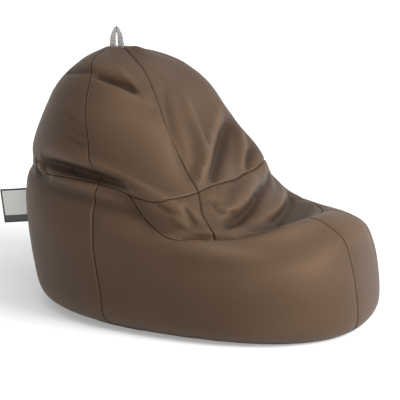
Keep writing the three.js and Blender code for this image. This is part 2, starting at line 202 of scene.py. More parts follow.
# %% Seams and columns
FOOT = 1.06
FRONT_SEAM = 15
GUSSET_FOOT = 60
SHOULDER = 45
GUSSET_TIP = 90
REAR_SEAM = 104
LABEL_SEAM = 197
CROWN_SHOULDER = 50
CROWN_REAR = 110

RIM_SEAM = [(0, 6.2), (30, 6.2), (45, 6.15), (60, 5.85), (72, 5.2), (78, 5.12), (83, 5.6),
            (87, 6.2), (90, 6.46), (104, 6.4), (122, 6.34), (140, 6.1), (160, 6.0), (180, 6.0)]
BACK_SEAM = [(0, 8.4), (15, 8.3), (30, 8.15), (45, 7.85), (56, 7.5), (64, 7.12), (73, 6.7),
             (80, 6.52), (90, 6.46)]

# The side seams sway: (station, degrees towards the rear). The sway fades away from SWAY_MIDDLE.
SWAY = [(1, 5), (2, 4), (3, 2.5), (5, 2), (6, -1), (6.4, -4), (7, -6.7), (8, -7), (9, -4.8),
        (9.5, -3), (10.2, 9), (11, 18), (12, 25)]
SWAY_MIDDLE = 105
SWAY_REACH = 30


def smooth_table(places, values):
    """A smooth curve through the values: cubic pieces whose slopes never overshoot."""
    places, values = np.array(places, float), np.array(values, float)
    rise = np.diff(values) / np.diff(places)
    slopes = np.zeros(len(values))
    same = rise[:-1] * rise[1:] > 0
    slopes[1:-1][same] = 2 / (1 / rise[:-1][same] + 1 / rise[1:][same])

    def curve(x):
        x = np.clip(np.asarray(x, float), places[0], places[-1])
        i = np.clip(np.searchsorted(places, x, "right") - 1, 0, len(places) - 2)
        width = places[i + 1] - places[i]
        t = (x - places[i]) / width
        return (
            (1 + 2 * t) * (1 - t) ** 2 * values[i]
            + t * (1 - t) ** 2 * width * slopes[i]
            + t * t * (3 - 2 * t) * values[i + 1]
            + t * t * (t - 1) * width * slopes[i + 1]
        )

    return curve


rim_station = smooth_table(*zip(*RIM_SEAM))
back_station = smooth_table(*zip(*BACK_SEAM))
sway_at = smooth_table(*zip(*SWAY))
print("rim seam at the gusset's foot, station", round(float(rim_station(GUSSET_FOOT)), 2))

# %% Columns round the chair
# Columns round one half, as (from, to, columns). The cloth is about 12 mm a square.
SECTORS = [(0, FRONT_SEAM, 12), (FRONT_SEAM, GUSSET_FOOT, 36), (GUSSET_FOOT, GUSSET_TIP, 26),
           (GUSSET_TIP, REAR_SEAM, 10)]
REAR_COLUMNS = 64
LABEL_COLUMNS = 14
ROWS = {"base": 38, "seat": 22, "dome": 50}


def spread(start, end, count):
    """count angles from start, in equal steps, without the end."""
    return [start + (end - start) * i / count for i in range(count)]


left_half = [angle for sector in SECTORS for angle in spread(*sector)]
right_half = [360 - angle for angle in left_half[1:]][::-1]
rear = (spread(REAR_SEAM, 180, REAR_COLUMNS) + spread(180, LABEL_SEAM, LABEL_COLUMNS)
        + spread(LABEL_SEAM, 360 - REAR_SEAM, REAR_COLUMNS - LABEL_COLUMNS))
LOWER = np.array(left_half + rear + [360 - REAR_SEAM] + right_half)
COLUMNS = len(LOWER)
print("columns", COLUMNS)


def column_of(angle):
    """The column at an angle from 0 to 360 where a seam runs."""
    return int(np.argmin(np.abs(LOWER - angle % 360)))


def side_angle(angle):
    """An angle as seen from the front: 0 to 180, and which side it is on."""
    folded = np.where(angle > 180, 360 - angle, angle)
    return folded, np.where(angle > 180, -1, 1)


# %% Blocks of cloth
half_lower, side = side_angle(LOWER)
half_upper = np.interp(half_lower, [0, GUSSET_FOOT, GUSSET_TIP, 180], [0, SHOULDER, GUSSET_TIP, 180])
half_crown = np.interp(half_upper, [0, SHOULDER, REAR_SEAM, 180],
                       [0, CROWN_SHOULDER, CROWN_REAR, 180])
rim = rim_station(half_lower)
back = np.where(half_lower <= GUSSET_TIP, back_station(half_upper), rim)


def swayed(angle, station):
    """Angles moved as the side seams sway at their station."""
    near = np.exp(-(((np.abs(angle) - SWAY_MIDDLE) / SWAY_REACH) ** 2))
    return angle + np.sign(angle) * sway_at(station) * near


def block(low_angle, low_station, high_angle, high_station, rows):
    """Angles and stations of a block of cloth, [column, row], between two edges."""
    t = np.linspace(0, 1, rows + 1)[None, :]
    low_angle, high_angle = low_angle[:, None], high_angle[:, None]
    low_station, high_station = low_station[:, None], high_station[:, None]
    return (low_angle + (high_angle - low_angle) * t,
            low_station + (high_station - low_station) * t)


whole = np.ones(COLUMNS)
MARKS = {
    "base": block(half_lower * side, FOOT * whole, half_lower * side, rim, ROWS["base"]),
    "seat": block(half_lower * side, rim, half_upper * side, back, ROWS["seat"]),
    "dome": block(half_upper * side, back, half_crown * side, TOP * whole, ROWS["dome"]),
}
CLOTH = {name: loft(np.radians(swayed(a, u)), u) * GRADE for name, (a, u) in MARKS.items()}
print("blocks", {name: grid.shape for name, grid in CLOTH.items()})

# %% [markdown]
# ## Folds drawn one by one
#
# The large folds of a bean bag are always in the same places: they run from the corners where
# seams pull, they hang under the crown, and the back rolls over the rim of the base. They could
# be left to a simulation, but then they would fall somewhere else each time a size changes. So
# each one is drawn as a stroke on the loft, as a sculptor marks them first, and the simulation
# only relaxes the cloth round them.
#
# A stroke is a height (negative for a valley), a half width above it, a half width below it and
# its places from left to right as seen from outside, as (angle, station).

# %% Strokes of the near side, in millimetres
BACK_FOLDS = [
    (-17, 26, 20, [(-44, 8.05), (-43, 8.4), (-42, 8.8), (-41, 9.1), (-39, 9.5), (-34, 9.9)]),
    (15, 20, 22, [(-40, 8.15), (-32, 8.5), (-23, 9.0), (-20, 9.35), (-18, 9.8)]),
    (11, 14, 16, [(-36, 8.35), (-26, 8.72), (-10, 9.18), (8, 9.36), (22, 9.38)]),
    (-24, 18, 28, [(-35, 8.2), (-27, 8.42), (-18, 8.7), (-7, 8.96), (10, 9.16), (26, 9.14)]),
    (14, 16, 18, [(-4, 8.5), (5, 8.62), (16, 8.74), (26, 8.82), (32, 8.84)]),
    (-12, 16, 16, [(2, 8.5), (12, 8.56), (20, 8.54), (28, 8.48)]),
]
SEAT_FOLDS = [
    (13, 18, 20, [(-40, 7.26), (-34, 7.44), (-23, 7.76), (-7, 8.12), (9, 8.3)]),
    (-22, 18, 18, [(-48, 6.62), (-37, 7.1), (-24, 7.5), (-9, 7.82), (4, 7.98), (30, 7.9)]),
    (14, 18, 18, [(-24, 7.18), (-12, 7.4), (1, 7.46), (16, 7.52), (38, 7.3)]),
    (-15, 16, 16, [(-12, 7.1), (1, 7.24), (17, 7.24), (38, 6.95)]),
    (-9, 10, 12, [(-40, 7.72), (-40, 7.46), (-36, 7.38), (-30, 7.45)]),
]
CROWN_FOLDS = [
    (-24, 26, 9, [(-105, 9.77), (-94, 9.71), (-86, 9.68), (-78, 9.63), (-70, 9.57), (-61, 9.47)]),
    (6, 10, 18, [(-102, 9.62), (-86, 9.53), (-72, 9.43), (-60, 9.34)]),
    (7, 14, 12, [(-80, 10.1), (-68, 9.78), (-60, 9.54), (-53, 9.3)]),
    (-11, 16, 9, [(-150, 9.4), (-128, 9.66), (-116, 9.78), (-107, 9.82)]),
    (-4, 8, 8, [(-117, 8.62), (-110, 8.54), (-103, 8.46)]),
    (-4, 8, 8, [(-115, 8.36), (-107, 8.28), (-101, 8.24)]),
    (-4, 8, 8, [(-113, 7.96), (-107, 7.92), (-101, 8.0)]),
]
RIM_FOLDS = [
    (-36, 34, 10, [(-133, 6.6), (-128, 6.6), (-121, 6.57), (-115, 6.53), (-108, 6.5),
                   (-100, 6.5), (-93, 6.54), (-85, 6.62)]),
    (13, 12, 24, [(-138, 6.25), (-122, 6.24), (-110, 6.18), (-100, 6.16), (-88, 6.1)]),
    (-13, 10, 10, [(-137, 6.78), (-141, 6.4), (-141, 6.1), (-136, 5.95), (-126, 6.02)]),
    (-9, 8, 8, [(-134, 6.6), (-130, 6.38), (-125, 6.22)]),
    (-5, 9, 9, [(-75, 6.56), (-71, 6.48), (-67, 6.5)]),
    (-7, 11, 11, [(-62, 6.26), (-61, 6.56), (-59, 6.92), (-57, 7.05)]),
    (5, 11, 11, [(-69, 6.44), (-68, 6.28), (-66, 6.1)]),
    (4, 20, 26, [(-101, 4.75), (-92, 4.72), (-84, 4.86), (-72, 4.95)]),
]
# The base's near side bulges under its rim and has no match on the far side.
SIDE_FOLDS = [
    (14, 24, 34, [(-84, 5.3), (-75, 5.0), (-60, 5.3), (-45, 5.6), (-30, 5.8), (-15, 5.9)]),
    (-14, 15, 15, [(-76, 5.2), (-66, 5.75), (-56, 6.0), (-44, 6.2), (-30, 6.25)]),
]
NEAR_FOLDS = BACK_FOLDS + SEAT_FOLDS + CROWN_FOLDS + RIM_FOLDS + SIDE_FOLDS
print("strokes on the near side", len(NEAR_FOLDS))

# %% How a stroke moves the cloth
STROKE_STEPS = 8
STROKE_PASSES = 6
TINY = 1e-12


def along_stroke(places):
    """A stroke's places, joined by short steps, as points of the loft."""
    places = np.array(places, float)
    steps = np.linspace(0, len(places) - 1, STROKE_STEPS * (len(places) - 1) + 1)
    knots = np.arange(len(places))
    angle = np.interp(steps, knots, places[:, 0])
    station = np.interp(steps, knots, places[:, 1])
    smooth = np.array([0.25, 0.5, 0.25])
    for values in (angle, station):
        for _ in range(STROKE_PASSES):
            values[1:-1] = np.convolve(values, smooth, "valid")
    return loft(np.radians(angle), station) * GRADE


def grid_normals(grid, closed):
    """Outward normals of a [column, row] grid of points."""
    if closed:
        around = np.roll(grid, -1, 0) - np.roll(grid, 1, 0)
    else:
        around = np.gradient(grid, axis=0)
    normal = np.cross(around, np.gradient(grid, axis=1))
    return normal / np.maximum(np.linalg.norm(normal, axis=-1, keepdims=True), TINY)


def stroke_height(points, normals, stroke):
    """How far a stroke moves each point along its normal, in metres."""
    height, above, below, places = stroke
    line = along_stroke(places)
    middle = (line[:-1] + line[1:]) / 2
    step = line[1:] - line[:-1]
    offset = points[:, None, :] - middle[None, :, :]
    nearest = np.argmin((offset**2).sum(-1), 1)
    rows = np.arange(len(points))
    offset = offset[rows, nearest]
    along = step[nearest] / np.linalg.norm(step[nearest], axis=-1, keepdims=True)
    run = (offset * along).sum(-1)
    across = offset - run[:, None] * along
    upward = (np.cross(normals, along) * across).sum(-1) > 0
    width = np.where(upward, above, below) * MM
    overrun = np.where((nearest == 0) | (nearest == len(step) - 1), np.abs(run), 0)
    distance = np.sqrt((across**2).sum(-1) + overrun**2)
    share = (nearest + 0.5) / len(step)
    taper = np.clip(4 * share * (1 - share), 0, 1) ** 0.5
    return height * MM * taper * np.exp(-((distance / width) ** 2))


# %% Far side and rear
def mirrored_fold(stroke, weaker=0.85, shift=0.06):
    """The same stroke on the other side, a little weaker and not quite in the same place."""
    height, above, below, places = stroke
    flipped = [(-angle, station + shift * math.sin(3 * angle)) for angle, station in places]
    return (height * weaker, above, below, flipped[::-1])


FAR_FOLDS = [mirrored_fold(stroke) for stroke in CROWN_FOLDS + RIM_FOLDS]
REAR_FOLDS = [
    (-14, 26, 12, [(152, 6.5), (165, 6.62), (180, 6.6), (-164, 6.5), (-150, 6.55)]),
    (7, 16, 22, [(150, 6.1), (168, 6.16), (-172, 6.16), (-152, 6.2)]),
    (-8, 22, 22, [(172, 7.1), (176, 7.8), (170, 8.5)]),
    (8, 26, 22, [(-168, 7.2), (-170, 8.0), (-160, 8.8)]),
    (-6, 18, 18, [(160, 9.2), (176, 9.5), (-168, 9.3)]),
    (-5, 26, 20, [(168, 4.6), (-175, 4.4), (-158, 4.7)]),
]


def unwrapped(stroke):
    """A stroke across the middle of the rear keeps on turning the same way."""
    height, above, below, places = stroke
    return (height, above, below, [(angle % 360, station) for angle, station in places])


ALL_FOLDS = NEAR_FOLDS + FAR_FOLDS + [unwrapped(stroke) for stroke in REAR_FOLDS]
# A fold narrower than one square of the cloth has to wait for the finer grids.
NARROW = 12
BROAD_FOLDS = [stroke for stroke in ALL_FOLDS if min(stroke[1:3]) >= NARROW]
NARROW_FOLDS = [stroke for stroke in ALL_FOLDS if min(stroke[1:3]) < NARROW]
print("strokes", len(ALL_FOLDS), "of which narrow", len(NARROW_FOLDS))

# %% Swells, and the folded cloth
# Broad swells, where the beads push more: height in mm, angle, its reach, station, its reach.
SWELLS = [(42, -30, 30, 5.85, 0.6), (18, 34, 30, 5.85, 0.6), (17, 30, 22, 9.5, 0.45),
          (24, 30, 22, 8.3, 0.45), (14, -68, 14, 4.95, 0.45)]


def swell_height(angle, station):
    """How far the swells push the cloth out, in metres."""
    return sum(height * MM * np.exp(-(((angle - at) / reach) ** 2)
                                    - ((station - level) / rise) ** 2)
               for height, at, reach, level, rise in SWELLS)


for name, grid in CLOTH.items():
    normals = grid_normals(grid, True).reshape(-1, 3)
    points = grid.reshape(-1, 3)
    moved = sum(stroke_height(points, normals, stroke) for stroke in BROAD_FOLDS)
    moved += swell_height(swayed(*MARKS[name]), MARKS[name][1]).ravel()
    CLOTH[name] = (points + normals * moved[:, None]).reshape(grid.shape)
    print(name, "folded by", round(moved.min() / MM, 1), "to", round(moved.max() / MM, 1), "mm")

# %% [markdown]
# ## Joining the blocks
#
# The folded blocks are joined into one cloth without doubled points, so that a simulation sees
# one bag. The gusset on each side comes to a point, where all its rows are one point.

# %% One cloth
tip_left, tip_right = column_of(GUSSET_TIP), column_of(-GUSSET_TIP)
seat_columns = [column % COLUMNS for column in range(tip_right, tip_left + COLUMNS + 1)]
base_index = np.arange(COLUMNS * (ROWS["base"] + 1)).reshape(COLUMNS, -1)
seat_index = np.repeat(base_index[:, -1:], ROWS["seat"] + 1, 1)
inner = seat_columns[1:-1]
fresh = np.arange(len(inner) * ROWS["seat"]).reshape(len(inner), -1) + base_index.size
seat_index[inner, 1:] = fresh
dome_index = np.empty((COLUMNS, ROWS["dome"] + 1), int)
dome_index[:, 0] = seat_index[:, -1]
dome_index[:, 1:] = (
    np.arange(COLUMNS * ROWS["dome"]).reshape(COLUMNS, -1) + base_index.size + fresh.size
)
INDEX = {"base": base_index, "seat": seat_index, "dome": dome_index}
points = np.zeros((dome_index.max() + 1, 3))
for name in ("dome", "seat", "base"):
    points[INDEX[name]] = CLOTH[name]


def grid_faces(index, columns):
    """Faces between neighbouring columns of a grid of point numbers."""
    faces = []
    for left, right in zip(columns[:-1], columns[1:]):
        for row in range(index.shape[1] - 1):
            ring = [index[left, row], index[right, row], index[right, row + 1], index[left, row + 1]]
            face = [int(corner) for i, corner in enumerate(ring) if corner != ring[i - 1]]
            if len(face) > 2:
                faces.append(face)
    return faces


all_round = list(range(COLUMNS)) + [0]
cloth_faces = (grid_faces(base_index, all_round) + grid_faces(seat_index, seat_columns)
               + grid_faces(dome_index, all_round))
print("cloth", len(points), "points", len(cloth_faces), "faces")

# %% [markdown]
# ## Relaxing the cloth
#
# The strokes say where the folds are, but real cloth also settles between them: it keeps its
# length, so a valley pushes up a small ridge next to it, and slack shows as faint waves. That is
# what the Cloth simulation adds here. The foot and the crown are pinned, every other point is
# held softly to its place by the beads behind it, and the cloth is cut a little larger than the
# shape that it covers. The beads can't move far, so no point may move further than a cap.

# %% Slack and hold
SLACK = {"base": 1.004, "seat": 1.04, "dome": 1.03}
SLACK_AROUND = 1.025
BEAD_HOLD = 0.035
SEAM_HOLD = 0.35
FOOT_ROWS_PINNED = 2
CROWN_ROWS_PINNED = 4
CAP = 8 * MM
FRAMES = 20


def hold_of_points(count):
    """How firmly each point is held: softly by beads, more by seams, and 1 where it is pinned."""
    hold = np.full(count, BEAD_HOLD)
    for name, index in INDEX.items():
        for angle in (FRONT_SEAM, REAR_SEAM) if name == "base" else (GUSSET_FOOT, REAR_SEAM):
            hold[index[[column_of(angle), column_of(-angle)]].ravel()] = SEAM_HOLD
    hold[dome_index[:, 0]] = SEAM_HOLD
    hold[base_index[:, -1]] = SEAM_HOLD
    hold[base_index[:, :FOOT_ROWS_PINNED].ravel()] = 1
    hold[dome_index[:, -CROWN_ROWS_PINNED:].ravel()] = 1
    return hold


def cut_larger(points):
    """The points of the cloth as it is cut, larger than the shape that it covers."""
    middle = np.array([0, slit_middle * MM, 0])
    larger = np.ones(len(points))
    for name, index in INDEX.items():
        larger[index[:, 1:-1].ravel()] = SLACK[name]
    rest = middle + (points - middle) * larger[:, None]
    rest[:, :2] = middle[:2] + (rest[:, :2] - middle[:2]) * SLACK_AROUND
    return rest


# %% Let the cloth settle
def relaxed(points, faces):
    """The points after the cloth has settled, none of them further than the cap."""
    mesh = bpy.data.meshes.new("slack_cloth")
    mesh.from_pydata(points.tolist(), [], faces)
    cloth = bpy.data.objects.new("slack_cloth", mesh)
    bpy.context.scene.collection.objects.link(cloth)
    hold = hold_of_points(len(points))
    group = cloth.vertex_groups.new(name="hold")
    for level in np.unique(hold):
        group.add(np.flatnonzero(hold == level).tolist(), float(level), "REPLACE")
    cloth.shape_key_add(name="placed")
    cut = cloth.shape_key_add(name="cut")
    cut.data.foreach_set("co", cut_larger(points).astype(np.float32).ravel())
    cut.value = 0
    modifier = cloth.modifiers.new("cloth", "CLOTH")
    settings = modifier.settings
    settings.quality = 5
    settings.mass = 0.3
    settings.tension_stiffness = settings.compression_stiffness = 30
    settings.shear_stiffness = 12
    settings.bending_stiffness = 0.6
    settings.tension_damping = settings.compression_damping = 15
    settings.air_damping = 4
    settings.vertex_group_mass = "hold"
    settings.pin_stiffness = 1.2
    settings.rest_shape_key = cut
    settings.effector_weights.gravity = 0
    settings.use_pressure = True
    settings.uniform_pressure_force = 1.2
    modifier.collision_settings.use_collision = False
    modifier.collision_settings.use_self_collision = False
    modifier.point_cache.frame_end = FRAMES
    for number in range(1, FRAMES + 1):
        bpy.context.scene.frame_set(number)
    settled = cloth.evaluated_get(bpy.context.evaluated_depsgraph_get()).data
    result = np.empty(len(points) * 3)
    settled.vertices.foreach_get("co", result)
    move = result.reshape(-1, 3) - points
    length = np.linalg.norm(move, axis=1, keepdims=True)
    move *= np.tanh(length / CAP) * CAP / np.maximum(length, 1e-9)
    bpy.data.objects.remove(cloth)
    bpy.context.scene.frame_set(1)
    print("cloth moved", round(float(length.max()) / MM, 1), "mm at most,",
          round(float(length.mean()) / MM, 1), "mm on average")
    return points + move


points = relaxed(points, cloth_faces)

# %% [markdown]
# ## Cutting the panels
#
# The relaxed cloth is coarse, about 12 mm a square. Each panel is now taken out of it as its own
# grid and made finer with a Catmull-Rom curve both ways, with extra lines close to its borders,
# because a seam is only a few millimetres wide. Subdividing evenly would need ten times as many
# faces for the same seam.

# %% Panels and finer grids
PANELS = {
    "base_front": ("base", -FRONT_SEAM, FRONT_SEAM),
    "base_side_left": ("base", FRONT_SEAM, REAR_SEAM),
    "base_side_right": ("base", -REAR_SEAM, -FRONT_SEAM),
    "base_rear_left": ("base", REAR_SEAM, LABEL_SEAM),
    "base_rear_right": ("base", LABEL_SEAM, -REAR_SEAM),
    "seat_panel": ("seat", -GUSSET_FOOT, GUSSET_FOOT),
    "gusset_left": ("seat", GUSSET_FOOT, GUSSET_TIP),
    "gusset_right": ("seat", -GUSSET_TIP, -GUSSET_FOOT),
    "backrest_panel": ("dome", -GUSSET_FOOT, GUSSET_FOOT),
    "dome_side_left": ("dome", GUSSET_FOOT, REAR_SEAM),
    "dome_side_right": ("dome", -REAR_SEAM, -GUSSET_FOOT),
    "dome_rear": ("dome", REAR_SEAM, -REAR_SEAM),
}
NEAR_BORDER = [0.12, 0.3, 0.55]
MOUTH_ROWS = ((0.6, 2 * MM), (0.3, 7 * MM))


def fine_lines(count):
    """Places along a row of count squares: two to a square, and more near both borders."""
    middle = [step / 2 for step in range(2, 2 * count - 1)]
    return np.array([0, *NEAR_BORDER, *middle, *[count - edge for edge in NEAR_BORDER[::-1]], count])


def finer(grid, places):
    """Points between the columns of a grid, on Catmull-Rom curves."""
    padded = np.concatenate([2 * grid[:1] - grid[1:2], grid, 2 * grid[-1:] - grid[-2:-1]])
    number = np.clip(np.floor(places).astype(int), 0, len(grid) - 2)
    f = (places - number)[:, None, None]
    a, b, c, d = (padded[number + step] for step in range(4))
    return b + f / 2 * (c - a + f * (2 * a - 5 * b + 4 * c - d + f * (3 * b - a - 3 * c + d)))


def swapped(grid):
    return grid.transpose(1, 0, 2)


# %% Cut the panels
# Panels that meet share their points' outward directions, so that a seam never gapes.
outward = np.zeros_like(points)
for index in INDEX.values():
    np.add.at(outward, index, grid_normals(points[index], True))
outward /= np.linalg.norm(outward, axis=-1, keepdims=True)


def panel_grid(block_name, start, end):
    """A panel's fine points, their outward directions, and their angles and stations."""
    first, last = column_of(start), column_of(end)
    beyond = last + (COLUMNS if last < first else 0) + 1
    columns = [column % COLUMNS for column in range(first, beyond)]
    coarse = points[INDEX[block_name][columns]]
    facing = outward[INDEX[block_name][columns]]
    angles, stations = (mark[columns] for mark in MARKS[block_name])
    marks = np.stack([np.unwrap(np.radians(swayed(angles, stations)), axis=0), stations], -1)
    if block_name == "dome":
        turned_in = [coarse[:, -1:] * (share, 1, 1) - (0, 0, drop) for share, drop in MOUTH_ROWS]
        coarse = np.concatenate([coarse, *turned_in], 1)
        facing = np.concatenate([facing] + [facing[:, -1:]] * len(MOUTH_ROWS), 1)
        marks = np.concatenate([marks] + [marks[:, -1:]] * len(MOUTH_ROWS), 1)
    lines = fine_lines(len(coarse) - 1), fine_lines(coarse.shape[1] - 1)
    grid, normals, marks = (swapped(finer(swapped(finer(values, lines[0])), lines[1]))
                            for values in (coarse, facing, marks))
    return grid, normals / np.linalg.norm(normals, axis=-1, keepdims=True), marks


def narrow_folds(grid, normals, marks):
    """A panel with the folds that are too narrow for the coarse cloth."""
    flat_normals = normals.reshape(-1, 3)
    places = (loft(marks[..., 0], marks[..., 1]) * GRADE).reshape(-1, 3)
    moved = sum(stroke_height(places, flat_normals, stroke) for stroke in NARROW_FOLDS)
    return grid + normals * moved.reshape(grid.shape[:2])[..., None]


def run_lengths(grid):
    """Arc length from the first column, along each row."""
    steps = np.linalg.norm(np.diff(grid, axis=0), axis=-1)
    return np.concatenate([np.zeros((1, grid.shape[1])), np.cumsum(steps, 0)])


CUTS = {name: panel_grid(*cut) for name, cut in PANELS.items()}
GRIDS = {name: narrow_folds(*cut) for name, cut in CUTS.items()}
print({name: grid.shape[:2] for name, grid in GRIDS.items()})

# %% [markdown]
# ## Seams
#
# The cover is sewn with felled seams: the two edges are folded over to one side and stitched down
# again, so on one side of the seam line there is a raised band about 8 mm wide that ends in a row
# of stitches. The seam line itself is a narrow dark groove, and the cloth next to it puckers,
# because thread is shorter than the cloth it holds. The groove's shadow is also painted into the
# colour as painted shade along the seam line, and the crest of the band gets a painted highlight.

# %% Seam profile
FELL_WIDTH = 8.5 * MM
FELL_RISE = 1.1 * MM
FELL_STEP = 0.5 * MM
FAR_STEPS = 50  # so many steps past the band nothing is left of its rise
STITCH_DENT = 0.6 * MM
STITCH_DENT_WIDTH = 1.3 * MM
GROOVE_DEPTH = 3.4 * MM
GROOVE_WIDTH = 2.4 * MM
PULL_DEPTH = 2.2 * MM
PULL_WIDTH = 14 * MM
PUCKER_REACH = 17 * MM
PUCKER_START = 4 * MM
PUCKER_LENGTHS = (19 * MM, 29 * MM, 47 * MM)
PUCKER_SWELL = 230 * MM
FELLED = {
    "base_rear_left": ("start",),
    "base_rear_right": ("start", "end"),
    "gusset_left": ("low",),
    "gusset_right": ("low",),
    "backrest_panel": ("low",),
    "dome_side_left": ("start", "end", "low"),
    "dome_side_right": ("start", "end", "low"),
    "base_front": ("start", "end"),
    "dome_rear": ("low",),
}
PUCKERS = {("seat_panel", "high"): 2.4 * MM, ("backrest_panel", "low"): 1.2 * MM,
           ("dome_side_right", "start"): 1.3 * MM, ("dome_side_left", "end"): 1.3 * MM,
           ("dome_rear", "start"): 1.6 * MM, ("dome_rear", "end"): 1.6 * MM}
EVEN_PUCKER = 0.5 * MM
# Painted shade: the colour darkens along each seam line, standing in for the groove's shadow.
PAINTED_SHADE_WIDTH = 1.7 * MM
# Painted highlight: the crest of each felled band is made paler through the fold shading.
CREST_AT = 4.2 * MM
CREST_WIDTH = 2.2 * MM
CREST_PAINTED_HIGHLIGHT = 9 * MM
BORDERS = ("start", "end", "low", "high")
print("felled borders", sum(len(borders) for borders in FELLED.values()))


# %% Relief round a panel
def border_view(grid, border):
    """The grid turned so that its first column is the named border."""
    if border == "end":
        return grid[::-1]
    if border == "low":
        return swapped(grid)
    if border == "high":
        return swapped(grid)[::-1]
    return grid


def from_border(values, border):
    """Turns one number for each point of a turned grid back to the grid's own order."""
    if border == "end":
        return values[::-1]
    if border == "low":
        return values.T
    if border == "high":
        return values[::-1].T
    return values


def ripple(run, seed):
    """An uneven wave along a seam, about one high."""
    dice = np.random.default_rng(seed)
    wave = sum(np.sin(2 * math.pi * run / length + dice.uniform(0, 2 * math.pi))
               for length in PUCKER_LENGTHS)
    swell = 0.6 + 0.4 * np.sin(2 * math.pi * run / PUCKER_SWELL + dice.uniform(0, 2 * math.pi))
    return wave * swell / 2


def bell(distance, width):
    """1 at a distance of 0, fading to nothing beyond the width."""
    return np.exp(-((distance / width) ** 2))


def seam_relief(name, grid):
    """How far the seams move each point, its painted seam shade and its painted crest highlight, 0
    to 1.
    """
    relief = np.zeros(grid.shape[:2])
    shade = np.zeros(grid.shape[:2])
    crest = np.zeros(grid.shape[:2])
    for seed, border in enumerate(BORDERS):
        if border == "high" and PANELS[name][0] == "dome":
            continue
        turned = border_view(grid, border)
        away = run_lengths(turned)
        along = run_lengths(swapped(turned)).T[:1].repeat(len(turned), 0)
        height = -GROOVE_DEPTH * bell(away, GROOVE_WIDTH)
        height -= PULL_DEPTH * np.exp(-away / PULL_WIDTH)
        if border in FELLED.get(name, ()):
            rise = 1 / (1 + np.exp(np.minimum((away - FELL_WIDTH) / FELL_STEP, FAR_STEPS)))
            height += FELL_RISE * rise * (1 - bell(away, GROOVE_WIDTH))
            height -= STITCH_DENT * bell(away - FELL_WIDTH, STITCH_DENT_WIDTH)
            # Painted highlight along the crest of the felled band.
            crest += from_border(bell(away - CREST_AT, CREST_WIDTH), border)
        strength = PUCKERS.get((name, border), EVEN_PUCKER)
        fade = np.exp(-away / PUCKER_REACH) * (1 - bell(away, PUCKER_START))
        height += strength * fade * ripple(along, seed + 7 * len(name))
        relief += from_border(height, border)
        # Painted shade along the seam line, for the groove's shadow.
        shade = np.maximum(shade, from_border(bell(away, PAINTED_SHADE_WIDTH), border))
    return relief, shade, crest


# %% Hollows and ridges, for painted shade and highlight
HOLLOW_PASSES = 60


def hollow_depth(grid, normals):
    """How deep each point lies under the smoothed panel, in metres; negative on a ridge."""
    smooth = grid.copy()
    for _ in range(HOLLOW_PASSES):
        smooth[1:-1] = (smooth[:-2] + 2 * smooth[1:-1] + smooth[2:]) / 4
        smooth[:, 1:-1] = (smooth[:, :-2] + 2 * smooth[:, 1:-1] + smooth[:, 2:]) / 4
    return ((smooth - grid) * normals).sum(-1)


PAINTED_SEAM_SHADES = {}
PAINTED_FOLD_LIGHTS = {}
for name, grid in GRIDS.items():
    relief, PAINTED_SEAM_SHADES[name], crest = seam_relief(name, grid)
    # Painted shade in hollows, painted highlight on ridges and on felled crests, from each point's
    # depth.
    PAINTED_FOLD_LIGHTS[name] = hollow_depth(grid, CUTS[name][1]) - CREST_PAINTED_HIGHLIGHT * crest
    GRIDS[name] = grid + CUTS[name][1] * relief[..., None]
    print(name, "seams move it by", round(relief.min() / MM, 1), "mm")

# %% [markdown]
# ## Cloth with a thickness
#
# A panel with no thickness would show its back at any gap, and could not be printed or measured.
# So each grid is doubled: the same points moved in by the cloth's thickness, with a narrow wall
# round the border. The map coordinates are real metres on the cloth, so the weave has one scale
# everywhere.

# %% Panels as solid cloth
CLOTH_THICKNESS = 1.5 * MM
# A hollow this deep gets the full painted shade.
PAINTED_LIGHT_FULL_DEPTH = 8 * MM
SHARP_EDGE = math.radians(60)
WEAVE_MAP = "cloth_metres"


def mesh_object(name, points, faces):
    mesh = bpy.data.meshes.new(name)
    mesh.from_pydata(np.asarray(points).tolist(), [], faces)
    mesh.update()
    piece = bpy.data.objects.new(name, mesh)
    bpy.context.scene.collection.objects.link(piece)
    mesh.shade_smooth()
    return piece


def set_map(piece, places):
    """Gives each corner of a mesh its place on the cloth."""
    mesh = piece.data
    corners = np.empty(len(mesh.loops), int)
    mesh.loops.foreach_get("vertex_index", corners)
    layer = mesh.uv_layers.new(name=WEAVE_MAP)
    layer.uv.foreach_set("vector", places[corners].astype(np.float32).ravel())


def thick_sheet(name, grid, thickness):
    """A closed piece from a [column, row] grid and the same grid moved in."""
    inner = grid - grid_normals(grid, False) * thickness
    columns, rows = grid.shape[:2]
    number = np.arange(columns * rows).reshape(columns, rows)
    a, b = number[:-1, :-1], number[1:, :-1]
    c, d = number[1:, 1:], number[:-1, 1:]
    outside = np.stack([a, b, c, d], -1).reshape(-1, 4)
    inside = outside[:, ::-1] + columns * rows
    ring = np.concatenate([number[:, 0], number[-1, 1:], number[-2::-1, -1], number[0, -2:0:-1]])
    following = np.roll(ring, -1)
    wall = np.stack([ring, ring + columns * rows, following + columns * rows, following], -1)
    faces = np.concatenate([outside, inside, wall]).tolist()
    both = np.concatenate([grid.reshape(-1, 3), inner.reshape(-1, 3)])
    piece = mesh_object(name, both, faces)
    across = run_lengths(grid)
    up = run_lengths(swapped(grid)).T
    across = across - across[-1:] / 2
    places = np.stack([across, up], -1).reshape(-1, 2)
    set_map(piece, np.concatenate([places, places]))
    piece.data.set_sharp_from_angle(angle=SHARP_EDGE)
    return piece


